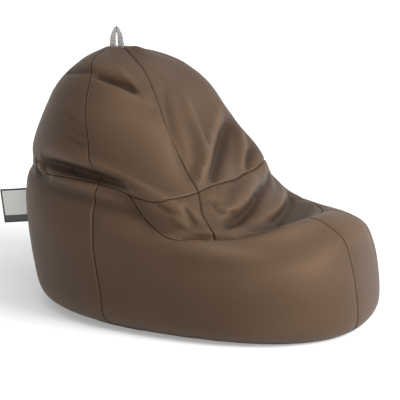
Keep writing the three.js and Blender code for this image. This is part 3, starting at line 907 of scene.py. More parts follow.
# %% Cover panels
cover_pieces = {}
for name, grid in GRIDS.items():
    piece = thick_sheet("cloth_" + name, grid, CLOTH_THICKNESS)
    # Painted shade along the seams, and painted shade and highlight by fold depth, for the colour.
    for layer, values in (("painted_seam_shade", PAINTED_SEAM_SHADES[name]), ("painted_fold_light", PAINTED_FOLD_LIGHTS[name] / PAINTED_LIGHT_FULL_DEPTH)):
        attribute = piece.data.attributes.new(layer, "FLOAT", "POINT")
        attribute.data.foreach_set("value", np.tile(values.ravel(), 2).astype(np.float32))
    cover_pieces[name] = piece
print("cover faces", sum(len(piece.data.polygons) for piece in cover_pieces.values()))

# %% [markdown]
# ## Topstitching
#
# The felled band ends in a row of stitches, each about 3 mm of thread that dips into the cloth at
# both ends. A bump pattern could fake it, but stitches catch light one by one, so each is a small
# closed bead of thread, laid along the line that runs a band's width from the seam. Beside the
# side label there are none, so that the label can fold flat.

# %% Stitches
STITCH_PITCH = 4.6 * MM
STITCH_LENGTH = 3.4 * MM
THREAD_RADIUS = 0.5 * MM
STITCH_INSET = 1.2 * MM
LABEL_CLEARANCE = 6 * MM
THREAD_SIDES = 6
STITCH_RINGS = ((-1, 0.3, -0.5), (-0.65, 1, 0.4), (0.65, 1, 0.4), (1, 0.3, -0.5))


def line_beside(turned, distance):
    """The line on a panel at a distance from its border, and the normals along it."""
    away = run_lengths(turned)
    normals = grid_normals(turned, False)
    line, outward = [], []
    for row in range(turned.shape[1]):
        if away[-1, row] < 3 * distance:
            continue
        above = int(np.searchsorted(away[:, row], distance))
        share = (distance - away[above - 1, row]) / (away[above, row] - away[above - 1, row])
        line.append(turned[above - 1, row] * (1 - share) + turned[above, row] * share)
        outward.append(normals[above, row])
    return np.array(line), np.array(outward)


def stitch_frames(line, outward):
    """The middle, direction and normal of each stitch along a line."""
    run = np.concatenate([[0], np.cumsum(np.linalg.norm(np.diff(line, axis=0), axis=1))])
    places = np.arange(STITCH_PITCH, run[-1] - STITCH_PITCH, STITCH_PITCH)
    middle = np.stack([np.interp(places, run, line[:, axis]) for axis in range(3)], -1)
    normal = np.stack([np.interp(places, run, outward[:, axis]) for axis in range(3)], -1)
    normal /= np.linalg.norm(normal, axis=1, keepdims=True)
    direction = np.gradient(middle, axis=0)
    direction /= np.linalg.norm(direction, axis=1, keepdims=True)
    return middle, direction, normal


# %% Thread
def thread_mesh(name, frames):
    """One piece with a small closed bead of thread at each frame."""
    turn = 2 * math.pi * np.arange(THREAD_SIDES) / THREAD_SIDES
    points, faces = [], []
    for middle, direction, normal in frames:
        sideways = np.cross(normal, direction)
        for place, girth, lift in STITCH_RINGS:
            centre = middle + direction * (place * STITCH_LENGTH / 2) + normal * lift * THREAD_RADIUS
            for angle in turn:
                spoke = math.cos(angle) * sideways + math.sin(angle) * normal
                points.append(centre + spoke * girth * THREAD_RADIUS)
    count = len(STITCH_RINGS) * THREAD_SIDES
    for stitch in range(len(frames)):
        first = stitch * count
        for ring in range(len(STITCH_RINGS) - 1):
            low = first + ring * THREAD_SIDES
            for side in range(THREAD_SIDES):
                beside = (side + 1) % THREAD_SIDES
                faces.append([low + side, low + beside,
                              low + THREAD_SIDES + beside, low + THREAD_SIDES + side])
        faces.append(list(range(first, first + THREAD_SIDES))[::-1])
        faces.append(list(range(first + count - THREAD_SIDES, first + count)))
    return mesh_object(name, points, faces)


label_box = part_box("side_label")
label_low, label_high = label_box[0][2] - LABEL_CLEARANCE, label_box[1][2] + LABEL_CLEARANCE
stitches = []
for name, borders in FELLED.items():
    for border in borders:
        line, outward = line_beside(border_view(GRIDS[name], border), FELL_WIDTH - STITCH_INSET)
        if border in ("end", "low"):
            outward = -outward
        beside_label = (name, border) == ("base_rear_right", "start")
        stitches += [frame for frame in zip(*stitch_frames(line, outward))
                     if not (beside_label and label_low < frame[0][2] < label_high)]
topstitching = thread_mesh("topstitching", stitches)
print("stitches", len(stitches), "faces", len(topstitching.data.polygons))

# %% [markdown]
# ## The underside
#
# The chair stands on a flat panel that nobody sees, with the cover's zip across it in a folded
# slot. The beads press it flat, so it is a grid on the floor with only a faint waviness, and its
# two parts meet at the zip.

# %% Underside
foot_line = np.concatenate([points[base_index[:, 0]], points[base_index[:1, 0]]])
zip_box = np.array(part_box("cover_zip_coil"))
ZIP_Y = zip_box[:, 1].mean()
slot_low, slot_high = (np.array(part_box("cover_zip_stop_" + word)) for word in ("right", "left"))
SLOT_REACH = max(abs(slot_low[0, 0]), slot_high[1, 0])
SLOT_HALF = 8 * MM
FOLD_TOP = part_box("cover_zip_tape_front")[0][2] - 0.3 * MM
UNDER_COLUMNS = 96
UNDER_ROWS = 60
UNDER_HEM = 2 * MM
UNDER_WAVE = 0.4 * MM
EDGE_RISE_POWER = 12
NEAR_TIP = 0.9995
SEAM_GAP = 0.4 * MM


def foot_crossings(x):
    """The foot's lowest and highest Y at a place across the chair."""
    a, b = foot_line[:-1], foot_line[1:]
    hit = (a[:, 0] - x) * (b[:, 0] - x) <= 0
    share = (x - a[hit, 0]) / (b[hit, 0] - a[hit, 0] + TINY)
    y = a[hit, 1] + share * (b[hit, 1] - a[hit, 1])
    return y.min() + UNDER_HEM, y.max() - UNDER_HEM


def underside_grid(side):
    """Columns across the chair, rows from the zip's seam out to the foot."""
    reach = np.abs(foot_line[:, 0]).max() - UNDER_HEM
    if side > 0:
        behind = foot_line[foot_line[:, 1] > ZIP_Y + SLOT_HALF]
        reach = np.abs(behind[:, 0]).max() - 2 * UNDER_HEM
    columns = []
    for x in reach * np.sin(np.linspace(-math.pi / 2, math.pi / 2, UNDER_COLUMNS + 1)):
        in_slot = abs(x) < SLOT_REACH
        low, high = foot_crossings(np.clip(x, -reach * NEAR_TIP, reach * NEAR_TIP))
        outer = low if side < 0 else high
        edge = ZIP_Y + side * (SLOT_HALF if in_slot else SEAM_GAP)
        edge = min(edge, high) if side < 0 else max(edge, low)
        lift = FOLD_TOP if in_slot else 0
        share = np.linspace(0, 1, UNDER_ROWS)
        y = edge + (outer - edge) * share**0.9
        wave = UNDER_WAVE * (1 + np.sin(40 * x + 23 * y)) * np.sin(31 * y - 17 * x) ** 2
        top = np.clip(wave, 0, MM) + CLOTH_THICKNESS * share**EDGE_RISE_POWER
        rows = [[x, edge, lift], [x, edge, lift / 2]]
        rows += [[x, place, height] for place, height in zip(y, top)]
        columns.append(rows)
    return np.array(columns)


# %% Two halves of the underside
underside_pieces = {}
for word, side in (("front", -1), ("rear", 1)):
    grid = underside_grid(side)
    if side > 0:
        grid = grid[::-1]
    underside_pieces[word] = thick_sheet("cloth_underside_" + word, grid, CLOTH_THICKNESS)
    print("underside", word, grid.shape[:2])

# %% [markdown]
# ## Liner and beads
#
# Inside the cover is a thin white bag that holds the beads, so that the cover can be washed. It
# follows the cover at some depth, and sinks further under each valley. Both the bag and
# the beads in it are made from the same loft, and smoothed, because a bag of beads has no sharp
# creases.

# %% Inner bags
LINER_DEPTH = 22 * MM
LINER_THICKNESS = 1 * MM
FILL_DEPTH = 33 * MM
INNER_ANGLES = np.radians(np.arange(0, 360, 3))
INNER_STATIONS = np.linspace(0.5, TOP - 0.6, 60)
inner_loft = loft(INNER_ANGLES[:, None], INNER_STATIONS[None, :]) * GRADE
inner_outward = grid_normals(inner_loft, True)
sunk = np.zeros(inner_loft.shape[:2])
for stroke in ALL_FOLDS:
    height = stroke_height(inner_loft.reshape(-1, 3), inner_outward.reshape(-1, 3), stroke)
    sunk += np.minimum(height, 0).reshape(sunk.shape)
for axis in (0, 1):
    sunk = np.minimum(sunk, np.minimum(np.roll(sunk, 1, axis), np.roll(sunk, -1, axis)))
for axis in (0, 1):
    sunk = (np.roll(sunk, 1, axis) + np.roll(sunk, -1, axis) + 2 * sunk) / 4


def inner_skin(depth, floor_height):
    """Points and faces of one closed surface inside the cover."""
    grid = inner_loft + inner_outward * (sunk - depth)[..., None]
    grid[..., 2] = np.maximum(grid[..., 2], floor_height)
    columns, rows = grid.shape[:2]
    number = np.arange(columns * rows).reshape(columns, rows)
    beyond = np.roll(number, -1, 0)
    sides = np.stack([number[:, :-1], beyond[:, :-1], beyond[:, 1:], number[:, 1:]], -1)
    bottom, top = columns * rows, columns * rows + 1
    faces = sides.reshape(-1, 4).tolist()
    faces += [[bottom, int(b), int(a)] for a, b in zip(number[:, 0], beyond[:, 0])]
    faces += [[top, int(a), int(b)] for a, b in zip(number[:, -1], beyond[:, -1])]
    ends = np.array([grid[:, 0].mean(0), grid[:, -1].mean(0)])
    return np.concatenate([grid.reshape(-1, 3), ends]), faces


liner_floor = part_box("liner_zip_tape_front")[1][2] + 0.5 * MM
fill_points, fill_faces = inner_skin(FILL_DEPTH, liner_floor + FILL_DEPTH - LINER_DEPTH)
fill_piece = mesh_object("beads_in_liner", fill_points, fill_faces)
outer_points, outer_faces = inner_skin(LINER_DEPTH, liner_floor)
under_points, under_faces = inner_skin(LINER_DEPTH + LINER_THICKNESS, liner_floor + LINER_THICKNESS)
under_faces = [[corner + len(outer_points) for corner in face[::-1]] for face in under_faces]
liner_piece = mesh_object("liner_bag", np.concatenate([outer_points, under_points]),
                          outer_faces + under_faces)
print("inner bags", len(fill_faces), len(outer_faces) * 2, "faces")

# %% [markdown]
# ## Carry loop
#
# The handle is one length of flat webbing, 25 mm wide, folded over at the top so that its two
# ends come down side by side into the crown seam. Bending a strip round by modifiers would twist
# it, so each leg is drawn between its inner and outer edge. Both legs meet in a mitre above
# the finger gap, and their rounded edges are the woven selvedge.

# %% Loop legs
loop_low, loop_high = (np.array(corner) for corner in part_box("carry_loop"))
LOOP_MIDDLE = (loop_low[1] + loop_high[1]) / 2
LOOP_HALF = (loop_high[1] - loop_low[1]) / 2
LOOP_HEIGHT = loop_high[2] - loop_low[2]
LOOP_THICKNESS = loop_high[0] - loop_low[0]
SLOT_BASE = 3.5 * MM
SLOT_HEIGHT = 46 * MM
LOOP_TUCK = 3 * MM
LEG_ROWS = 60
LEG_COLUMNS = 22


def quadratic(a, b, c, t):
    """A curve from a to c that is pulled towards b."""
    t = t[:, None]
    return (1 - t) ** 2 * np.array(a) + 2 * t * (1 - t) * np.array(b) + t**2 * np.array(c)


def outer_edge():
    lower = quadratic((LOOP_HALF, 0), (LOOP_HALF, LOOP_HEIGHT * 0.5),
                      (LOOP_HALF * 0.55, LOOP_HEIGHT * 0.76), np.linspace(0, 1, 80))
    upper = quadratic((LOOP_HALF * 0.55, LOOP_HEIGHT * 0.76),
                      (LOOP_HALF * 0.3, LOOP_HEIGHT * 0.97), (0, LOOP_HEIGHT),
                      np.linspace(0, 1, 80))
    return np.concatenate([lower, upper[1:]])


def leg_grid(side):
    """One leg, columns from its inner to its outer edge, rows from the crown up."""
    edge = outer_edge()
    heights = LOOP_HEIGHT * (1 - (1 - np.linspace(0, 1, LEG_ROWS)) ** 1.3)
    outer = np.interp(heights, edge[:, 1], edge[:, 0])
    slot = np.clip(1 - (heights / SLOT_HEIGHT) ** 4, 0, 1) ** 0.5
    inner = np.minimum(SLOT_BASE * slot, outer)
    heights[0] = -LOOP_TUCK
    share = np.linspace(0, 1, LEG_COLUMNS)[:, None]
    reach = inner + (outer - inner) * share
    roundness = np.clip(1 - (2 * share - 1) ** 8, 0.35, 1)
    width = np.clip((outer - inner) / (2 * LOOP_THICKNESS), 0.15, 1)
    bow = 0.5 * MM * side * np.sin(math.pi * np.clip(heights / LOOP_HEIGHT, 0, 1))
    half = LOOP_THICKNESS / 2 * roundness * width
    y = LOOP_MIDDLE + side * reach
    z = loop_low[2] + np.broadcast_to(heights, reach.shape)
    front = np.stack([bow - half, y, z], -1)
    behind = np.stack([bow + half, y, z], -1)
    return front, behind


# %% Two legs
def closed_pair(name, front, behind):
    """A closed piece from two matching grids, the second behind the first."""
    columns, rows = front.shape[:2]
    number = np.arange(columns * rows).reshape(columns, rows)
    quads = np.stack([number[:-1, :-1], number[1:, :-1], number[1:, 1:], number[:-1, 1:]], -1)
    quads = quads.reshape(-1, 4)
    ring = np.concatenate([number[:, 0], number[-1, 1:], number[-2::-1, -1], number[0, -2:0:-1]])
    following = np.roll(ring, -1)
    wall = np.stack([ring, ring + number.size, following + number.size, following], -1)
    faces = np.concatenate([quads, quads[:, ::-1] + number.size, wall]).tolist()
    piece = mesh_object(name, np.concatenate([front.reshape(-1, 3), behind.reshape(-1, 3)]), faces)
    bm = bmesh.new()
    bm.from_mesh(piece.data)
    bmesh.ops.recalc_face_normals(bm, faces=bm.faces)
    bm.to_mesh(piece.data)
    bm.free()
    return piece


loop_legs = []
for word, side in (("front", -1), ("rear", 1)):
    front, behind = leg_grid(side)
    leg = closed_pair("loop_leg_" + word, front, behind)
    run = np.stack([side * (front[..., 1] - LOOP_MIDDLE), front[..., 2] - loop_low[2]], -1)
    set_map(leg, np.concatenate([run.reshape(-1, 2)] * 2))
    loop_legs.append(leg)
    print(leg.name, len(leg.data.polygons), "faces")

# %% [markdown]
# ## Side label
#
# A woven label stands out of the base's closing seam: a pale damask ground with a dark border and
# a dark band along its foot, folded double so that it is stiff. It is drawn as a fine grid on the
# label's own axes, which come from the hinge that it folds about, with a gentle wave, because
# a label that is perfectly flat looks like a card.

# %% Label
label_joint = next(joint for joint in frame["joints"] if joint["name"] == "label_fold")
label_foot = Vector(label_joint["pos_m"])
label_up = Vector(label_joint["axis"]).normalized()
label_points = [vertex.co for vertex in frame["nodes"]["side_label"].data.vertices]
label_middle = sum(label_points, Vector()) / len(label_points)
label_out = (label_middle - label_foot).normalized()
label_out = (label_out - label_up * label_out.dot(label_up)).normalized()
label_side = label_up.cross(label_out)
LABEL_REACH = max((point - label_foot).dot(label_out) for point in label_points)
LABEL_HALF = max((point - label_foot).dot(label_up) for point in label_points)
LABEL_THICKNESS = 1.3 * MM
LABEL_WAVE = 2.2 * MM
LABEL_BORDER = 6 * MM
LABEL_BAND = 24 * MM
LABEL_TUCK = 8 * MM


def label_grid():
    columns = np.linspace(-LABEL_TUCK, LABEL_REACH, 64)
    rows = np.linspace(-LABEL_HALF, LABEL_HALF, 68)
    out, up = np.meshgrid(columns, rows, indexing="ij")
    lean = np.clip(out / LABEL_REACH, 0, 1)
    wave = LABEL_WAVE * lean * np.sin(3.2 * lean + 9 * up) * 0.7
    edge = np.minimum(np.minimum(LABEL_REACH - out, LABEL_HALF - np.abs(up)) / LABEL_BORDER, 1)
    raised = 0.25 * MM * (edge < 0.98)
    return out, up, wave, raised


out, up, wave, raised = label_grid()
axes = [np.array(axis) for axis in (label_out, label_up, label_side)]
flat = np.array(label_foot) + out[..., None] * axes[0] + up[..., None] * axes[1]
half = (LABEL_THICKNESS / 2 + raised)[..., None] * axes[2]
label_piece = closed_pair("woven_label", flat + wave[..., None] * axes[2] + half,
                          flat + wave[..., None] * axes[2] - half)
set_map(label_piece, np.concatenate([np.stack([out, up], -1).reshape(-1, 2)] * 2))
print("label", round(LABEL_REACH / MM), "mm out and", round(2 * LABEL_HALF / MM), "mm high")

# %% [markdown]
# ## Materials
#
# Every finish is named for the real material. Colours are written as the hex values that a
# picture editor shows, and one function turns them to the linear light that a renderer adds up.

# %% Colour and node helpers


def linear(hex_colour, alpha=1.0):
    """An sRGB hex colour as linear red, green, blue and alpha."""
    values = [int(hex_colour[i : i + 2], 16) / 255 for i in (1, 3, 5)]
    return [v / 12.92 if v <= 0.04045 else ((v + 0.055) / 1.055) ** 2.4 for v in values] + [alpha]


def add_node(tree, kind, inputs=None, **settings):
    """Adds a shader node, sets what it is told, and links the inputs that are sockets."""
    made = tree.nodes.new("ShaderNode" + kind)
    for key, value in settings.items():
        setattr(made, key, value)
    for socket, value in (inputs or {}).items():
        if isinstance(value, bpy.types.NodeSocket):
            tree.links.new(value, made.inputs[socket])
        else:
            made.inputs[socket].default_value = value
    return made


def new_material(name):
    """A material with an empty tree but for its output and a Principled shader."""
    made = bpy.data.materials.new(name)
    made.use_nodes = True
    return made, made.node_tree, made.node_tree.nodes["Principled BSDF"]


# %% [markdown]
# The cover is a plain-woven polyester with a water-repellent coating on its back and a soft
# sheen on its face. Polyester thread is round and smooth, so highlights are broad, not sharp:
# roughness a half. IOR and specular level are below those of solid plastic, because part of each
# glint is lost between the threads, and dyed threads tint it brown. A faint sheen shows where the
# cloth turns away. Threads are about 0.4 mm apart. That is too fine to show, so the weave is drawn
# at 1.2 mm. The colour also carries painted light. It is lighter on ridges and darker in hollows by
# a fold's depth, as painted highlight and painted shade. It is darker along each seam line as
# painted shade, and paler on each felled band's crest as a painted highlight.

# %% Woven polyester
DRAWN_THREAD = 1.2 * MM
COVER_BROWN = "#3d3026"
COVER_LIGHT = "#44362b"
# Painted shade: the colour that the seam lines are darkened towards.
PAINTED_SEAM_SHADE_COLOUR = "#2a2019"
# Painted highlight on ridges and painted shade in hollows, as factors on the colour.
RIDGE_PAINTED_LIGHT = 1.25
HOLLOW_PAINTED_SHADE = 0.45


def woven_height(tree, places, spacing):
    """Over-and-under threads: two bands across each other, as a height from 0 to 1."""
    bands = [
        add_node(tree, "TexWave", {"Vector": places, "Scale": math.pi / 10 / spacing},
                 wave_type="BANDS", bands_direction=direction).outputs["Fac"]
        for direction in ("X", "Y")
    ]
    return add_node(tree, "Math", {0: bands[0], 1: bands[1]}, operation="MULTIPLY").outputs[0]


def woven_polyester():
    material, tree, shader = new_material("woven_polyester_coated")
    places = add_node(tree, "UVMap", uv_map=WEAVE_MAP).outputs["UV"]
    body = add_node(tree, "TexCoord").outputs["Object"]
    cloud = add_node(tree, "TexNoise", {"Vector": body, "Scale": 7.0, "Detail": 3.0})
    # Painted shade: the colour is mixed towards dark along each seam line.
    seam = add_node(tree, "Attribute", attribute_name="painted_seam_shade")
    dyed = add_node(tree, "Mix", {"Factor": cloud.outputs["Fac"], "A": linear(COVER_BROWN),
                                  "B": linear(COVER_LIGHT)}, data_type="RGBA")
    shaded = add_node(tree, "Mix", {"Factor": seam.outputs["Fac"], "A": dyed.outputs["Result"],
                                    "B": linear(PAINTED_SEAM_SHADE_COLOUR)}, data_type="RGBA")
    # Painted shade and highlight: hollows are darkened and ridges lightened by their depth.
    painted_fold_light = add_node(tree, "Attribute", attribute_name="painted_fold_light").outputs["Fac"]
    painted_gain = add_node(tree, "MapRange", {"Value": painted_fold_light, "From Min": -1.0, "From Max": 1.0,
                                       "To Min": RIDGE_PAINTED_LIGHT, "To Max": HOLLOW_PAINTED_SHADE})
    painted_fold_colour = add_node(tree, "VectorMath", {0: shaded.outputs["Result"]}, operation="SCALE")
    tree.links.new(painted_gain.outputs["Result"], painted_fold_colour.inputs["Scale"])
    tree.links.new(painted_fold_colour.outputs["Vector"], shader.inputs["Base Color"])
    weave = woven_height(tree, places, DRAWN_THREAD)
    crumple = add_node(tree, "TexNoise", {"Vector": body, "Scale": 28.0, "Detail": 2.0})
    fine = add_node(tree, "Bump", {"Height": weave, "Strength": 0.18, "Distance": 0.15 * MM})
    both = add_node(tree, "Bump", {"Height": crumple.outputs["Fac"], "Strength": 0.25,
                                   "Distance": 1.2 * MM, "Normal": fine.outputs["Normal"]})
    tree.links.new(both.outputs["Normal"], shader.inputs["Normal"])
    shader.inputs["Roughness"].default_value = 0.5
    shader.inputs["IOR"].default_value = 1.42
    shader.inputs["Specular IOR Level"].default_value = 0.3
    shader.inputs["Specular Tint"].default_value = linear("#cda784")
    shader.inputs["Sheen Weight"].default_value = 0.04
    shader.inputs["Sheen Roughness"].default_value = 0.5
    shader.inputs["Sheen Tint"].default_value = linear("#9a7a58")
    return material


cover_material = woven_polyester()
print("cover material", len(cover_material.node_tree.nodes), "nodes")

# %% [markdown]
# Topstitching thread is bonded polyester, a shade darker than the cloth. It is round and slightly
# waxed, so each stitch keeps a small soft highlight: roughness 0.4.
#
# Webbing is woven far coarser than the cover. Its warp runs along the strap as ribs about
# 1.4 mm apart, in grey with a darker fleck where the weft crosses, and it is matt.

# %% Thread and webbing
THREAD_BROWN = "#453629"
WEB_GREY = "#b4b1ae"
WEB_DARK = "#3a3838"
WEB_RIB = 1.4 * MM
WEB_PICK = 2.2 * MM


def plain_fibre(name, hex_colour, second_colour, roughness, grain):
    """A finish with a faint fibrous variation of colour and height."""
    material, tree, shader = new_material(name)
    body = add_node(tree, "TexCoord").outputs["Object"]
    noise = add_node(tree, "TexNoise", {"Vector": body, "Scale": grain, "Detail": 4.0})
    dyed = add_node(tree, "Mix", {"Factor": noise.outputs["Fac"], "A": linear(hex_colour),
                                  "B": linear(second_colour)}, data_type="RGBA")
    bump = add_node(tree, "Bump", {"Height": noise.outputs["Fac"], "Strength": 0.3,
                                   "Distance": 0.3 * MM})
    tree.links.new(dyed.outputs["Result"], shader.inputs["Base Color"])
    tree.links.new(bump.outputs["Normal"], shader.inputs["Normal"])
    shader.inputs["Roughness"].default_value = roughness
    shader.inputs["IOR"].default_value = 1.5
    return material


def woven_webbing():
    material, tree, shader = new_material("polyester_webbing")
    places = add_node(tree, "UVMap", uv_map=WEAVE_MAP).outputs["UV"]
    ribs = add_node(tree, "TexWave", {"Vector": places, "Scale": math.pi / 10 / WEB_RIB},
                    wave_type="BANDS", bands_direction="X")
    picks = add_node(tree, "TexWave", {"Vector": places, "Scale": math.pi / 10 / WEB_PICK},
                     wave_type="BANDS", bands_direction="Y")
    fleck = add_node(tree, "TexNoise", {"Vector": places, "Scale": 330.0, "Detail": 1.0})
    crossed = add_node(tree, "Math", {0: ribs.outputs["Fac"], 1: picks.outputs["Fac"]},
                       operation="MULTIPLY")
    spread_fleck = add_node(tree, "MapRange", {"Value": fleck.outputs["Fac"], "From Min": 0.46,
                                               "From Max": 0.56})
    dyed = add_node(tree, "Mix", {"Factor": spread_fleck.outputs["Result"], "A": linear(WEB_GREY),
                                  "B": linear(WEB_DARK)}, data_type="RGBA")
    bump = add_node(tree, "Bump", {"Height": crossed.outputs[0], "Strength": 0.6,
                                   "Distance": 0.4 * MM})
    tree.links.new(dyed.outputs["Result"], shader.inputs["Base Color"])
    tree.links.new(bump.outputs["Normal"], shader.inputs["Normal"])
    shader.inputs["Roughness"].default_value = 0.7
    shader.inputs["IOR"].default_value = 1.5
    return material


thread_material = plain_fibre("bonded_polyester_thread", THREAD_BROWN, "#3a2d23", 0.4, 900.0)
webbing_material = woven_webbing()

# %% [markdown]
# The label is woven damask: a pale satin ground whose threads show as a fine crossing, with a
# black frame woven in, and a dark band under a line near its foot. Satin threads float on the
# face, so it is a little glossier than the webbing. Its places come from metres on the label.

# %% Woven label
LABEL_PALE = "#c9c8c4"
LABEL_BLACK = "#1d1c1b"
LABEL_GREY = "#45423f"
LABEL_THREAD = 0.9 * MM


def woven_label():
    material, tree, shader = new_material("woven_damask_label")
    places = add_node(tree, "UVMap", uv_map=WEAVE_MAP).outputs["UV"]
    apart = add_node(tree, "SeparateXYZ", {"Vector": places})
    high = add_node(tree, "Math", {0: apart.outputs["Y"]}, operation="ABSOLUTE").outputs[0]
    lower = add_node(tree, "Math", {0: apart.outputs["Y"], 1: -1.0}, operation="MULTIPLY").outputs[0]
    edges = [(apart.outputs["X"], LABEL_REACH - LABEL_BORDER), (high, LABEL_HALF - LABEL_BORDER),
             (lower, LABEL_HALF - LABEL_BAND - LABEL_BORDER / 3), (lower, LABEL_HALF - LABEL_BAND)]
    out_frame, side_frame, lined, banded = (
        add_node(tree, "Math", {0: place, 1: edge}, operation="GREATER_THAN").outputs[0]
        for place, edge in edges)
    bordered = add_node(tree, "Math", {0: out_frame, 1: side_frame}, operation="MAXIMUM")
    ground = add_node(tree, "Mix", {"Factor": lined, "A": linear(LABEL_PALE),
                                    "B": linear(LABEL_BLACK)}, data_type="RGBA")
    footed = add_node(tree, "Mix", {"Factor": banded, "A": ground.outputs["Result"],
                                    "B": linear(LABEL_GREY)}, data_type="RGBA")
    framed = add_node(tree, "Mix", {"Factor": bordered.outputs[0], "A": footed.outputs["Result"],
                                    "B": linear(LABEL_BLACK)}, data_type="RGBA")
    threads = woven_height(tree, places, LABEL_THREAD)
    shaded = add_node(tree, "Mix", {"Factor": 0.18, "A": framed.outputs["Result"]},
                      data_type="RGBA", blend_type="MULTIPLY")
    tree.links.new(threads, shaded.inputs["B"])
    bump = add_node(tree, "Bump", {"Height": threads, "Strength": 0.4, "Distance": 0.2 * MM})
    tree.links.new(shaded.outputs["Result"], shader.inputs["Base Color"])
    tree.links.new(bump.outputs["Normal"], shader.inputs["Normal"])
    shader.inputs["Roughness"].default_value = 0.55
    shader.inputs["IOR"].default_value = 1.5
    return material


label_material = woven_label()

# %% [markdown]
# The hidden parts have their own finishes. The liner is a spun-bonded non-woven, matt and off
# white. The beads are expanded polystyrene, white and slightly lumpy under the liner. The zips
# have a woven tape, a nylon coil and die-cast zinc sliders, plated black, with the rough highlight
# of a tumbled casting.

# %% Hidden finishes
def polystyrene_beads():
    material, tree, shader = new_material("expanded_polystyrene_beads")
    body = add_node(tree, "TexCoord").outputs["Object"]
    cells = add_node(tree, "TexVoronoi", {"Vector": body, "Scale": 220.0})
    bump = add_node(tree, "Bump", {"Height": cells.outputs["Distance"], "Strength": 0.7,
                                   "Distance": 2 * MM})
    bump.invert = True
    tree.links.new(bump.outputs["Normal"], shader.inputs["Normal"])
    shader.inputs["Base Color"].default_value = linear("#e9e8e3")
    shader.inputs["Roughness"].default_value = 0.6
    shader.inputs["IOR"].default_value = 1.5
    return material


def cast_zinc():
    material, tree, shader = new_material("plated_zinc_die_cast")
    body = add_node(tree, "TexCoord").outputs["Object"]
    tumbled = add_node(tree, "TexNoise", {"Vector": body, "Scale": 700.0, "Detail": 2.0})
    rough = add_node(tree, "MapRange", {"Value": tumbled.outputs["Fac"], "To Min": 0.3,
                                        "To Max": 0.45})
    tree.links.new(rough.outputs["Result"], shader.inputs["Roughness"])
    shader.inputs["Base Color"].default_value = linear("#4a4846")
    shader.inputs["Metallic"].default_value = 1.0
    return material


liner_material = plain_fibre("spunbonded_polypropylene", "#dedcd4", "#cfcdc6", 0.85, 260.0)
beads_material = polystyrene_beads()
tape_material = plain_fibre("woven_polyester_zip_tape", "#3b3028", "#2c241e", 0.75, 900.0)
coil_material = plain_fibre("nylon_zip_coil", "#2b2522", "#1f1b19", 0.35, 1500.0)
metal_material = cast_zinc()

# %% [markdown]
# ## Putting it together
#
# Each new piece rides on the body of the solid that it stands for and gets its finish. The plain
# solids stay in the physics model for collision.

# %% Bodies, slots and finishes
def finished(piece, body, slot, material, *nodes):
    """Gives a piece its finish and its body and hides the solids that it stands for; slot is not
    used.
    """
    piece.data.materials.clear()
    piece.data.materials.append(material)
    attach(piece, body)
    if nodes:
        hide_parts(*nodes)


for name, piece in cover_pieces.items():
    finished(piece, "bag", "cover_fabric", cover_material, name)
for word, piece in underside_pieces.items():
    finished(piece, "bag", "cover_fabric", cover_material, "underside_" + word)
finished(topstitching, "bag", "cover_fabric", thread_material)
finished(liner_piece, "bag", "liner_fabric", liner_material, "liner")
finished(fill_piece, "bag", "beads", beads_material, "bead_fill")
for leg in loop_legs:
    finished(leg, "loop", "webbing", webbing_material, "carry_loop")
finished(label_piece, "label", "label", label_material, "side_label")

NODE_FINISHES = {"zip_tape": tape_material, "zip_coil": coil_material,
                 "zip_metal": metal_material, "webbing": webbing_material}
for name, node in frame["nodes"].items():
    for material_slot in node.material_slots:
        finish = NODE_FINISHES.get(material_slot.name.split(".")[0])
        if finish:
            material_slot.material = finish
            print(name, "is now", finish.name)

# %% [markdown]
# ## Light
#
# A catalogue picture has a white ground with only a soft shadow at the foot. The floor's paper
# glows a little, which is painted light, and it is painted darker near the chair, where the key
# light falls strongest, and paler away from it, so that it runs into the white world but still
# takes a shadow. One large soft box stands in front of the chair, so the front is brightest, and a
# weaker one lifts the near side. The back and the far side fall away into the brown.

# %% Paper floor
FLOOR_REACH = 40
PAPER_NEAR_TO = 0.9
PAPER_FAR_FROM = 2.6
NEAR_GLOW = 0.27
FAR_GLOW = 0.55
NEAR_PAPER = 0.58
FAR_PAPER = 0.98

floor_mesh = bpy.data.meshes.new("studio_floor")
floor_mesh.from_pydata([(x * FLOOR_REACH, y * FLOOR_REACH, 0) for x, y in
                        ((-1, -1), (1, -1), (1, 1), (-1, 1))], [], [(0, 1, 2, 3)])
studio_floor = bpy.data.objects.new("studio_floor", floor_mesh)
bpy.context.scene.collection.objects.link(studio_floor)
floor_material, floor_tree, floor_shader = new_material("white_paper_floor")
spot = add_node(floor_tree, "TexCoord").outputs["Object"]
away = add_node(floor_tree, "VectorMath", {0: spot}, operation="LENGTH").outputs["Value"]
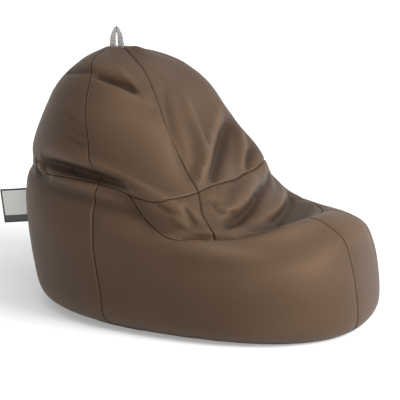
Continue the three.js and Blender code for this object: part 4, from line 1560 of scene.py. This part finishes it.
# Painted light: the paper is darker and glows less near the chair, where the key light is strongest.
for socket, near, far in (("Base Color", NEAR_PAPER, FAR_PAPER),
                          ("Emission Strength", NEAR_GLOW, FAR_GLOW)):
    ramp = add_node(floor_tree, "MapRange", {"Value": away, "From Min": PAPER_NEAR_TO,
                                             "From Max": PAPER_FAR_FROM,
                                             "To Min": near, "To Max": far})
    floor_tree.links.new(ramp.outputs["Result"], floor_shader.inputs[socket])
floor_shader.inputs["Roughness"].default_value = 0.9
floor_shader.inputs["Specular IOR Level"].default_value = 0.1
floor_shader.inputs["Emission Color"].default_value = (1, 1, 1, 1)
floor_mesh.materials.append(floor_material)
print("floor", 2 * FLOOR_REACH, "m wide")

# %% White world
WORLD_STRENGTH = 1.0
ZENITH_STRENGTH = 0.62
HORIZON_TO = 0.05
ZENITH_FROM = 0.6

world = bpy.data.worlds.new("studio")
world.use_nodes = True
bpy.context.scene.world = world
background = world.node_tree.nodes["Background"]
background.inputs["Color"].default_value = (1, 1, 1, 1)
sky = add_node(world.node_tree, "TexCoord").outputs["Generated"]
height = add_node(world.node_tree, "SeparateXYZ", {"Vector": sky}).outputs["Z"]
dimming = add_node(world.node_tree, "MapRange", {"Value": height, "From Min": HORIZON_TO,
                                                 "From Max": ZENITH_FROM,
                                                 "To Min": WORLD_STRENGTH,
                                                 "To Max": ZENITH_STRENGTH})
world.node_tree.links.new(dimming.outputs["Result"], background.inputs["Strength"])
print("world", WORLD_STRENGTH, "at the horizon and", ZENITH_STRENGTH, "overhead")

# %% Soft boxes
KEY_TURN = math.radians(-12)
KEY_LIFT = math.radians(27)
BOX_DISTANCE = 3.6
BOX_SIZE = 2.0
CHAIR_MIDDLE = Vector((0, 0, 0.4))
KEY_POWER = 245
FILL_TURN = math.radians(-78)
FILL_LIFT = math.radians(60)
FILL_POWER = 45


def soft_box(name, turn, lift, power):
    """A square area light at a turn from the front, aimed at the middle of the chair."""
    light = bpy.data.lights.new(name, "AREA")
    light.size = BOX_SIZE
    light.energy = power
    lamp = bpy.data.objects.new(name, light)
    towards = Vector((math.sin(turn) * math.cos(lift), -math.cos(turn) * math.cos(lift),
                      math.sin(lift)))
    lamp.location = CHAIR_MIDDLE + BOX_DISTANCE * towards
    lamp.rotation_euler = (-towards).to_track_quat("-Z", "Y").to_euler()
    bpy.context.scene.collection.objects.link(lamp)


soft_box("key_soft_box", KEY_TURN, KEY_LIFT, KEY_POWER)
soft_box("fill_soft_box", FILL_TURN, FILL_LIFT, FILL_POWER)
bpy.context.scene.view_settings.view_transform = "Standard"
print("soft boxes of", BOX_SIZE, "m stand", BOX_DISTANCE, "m away")
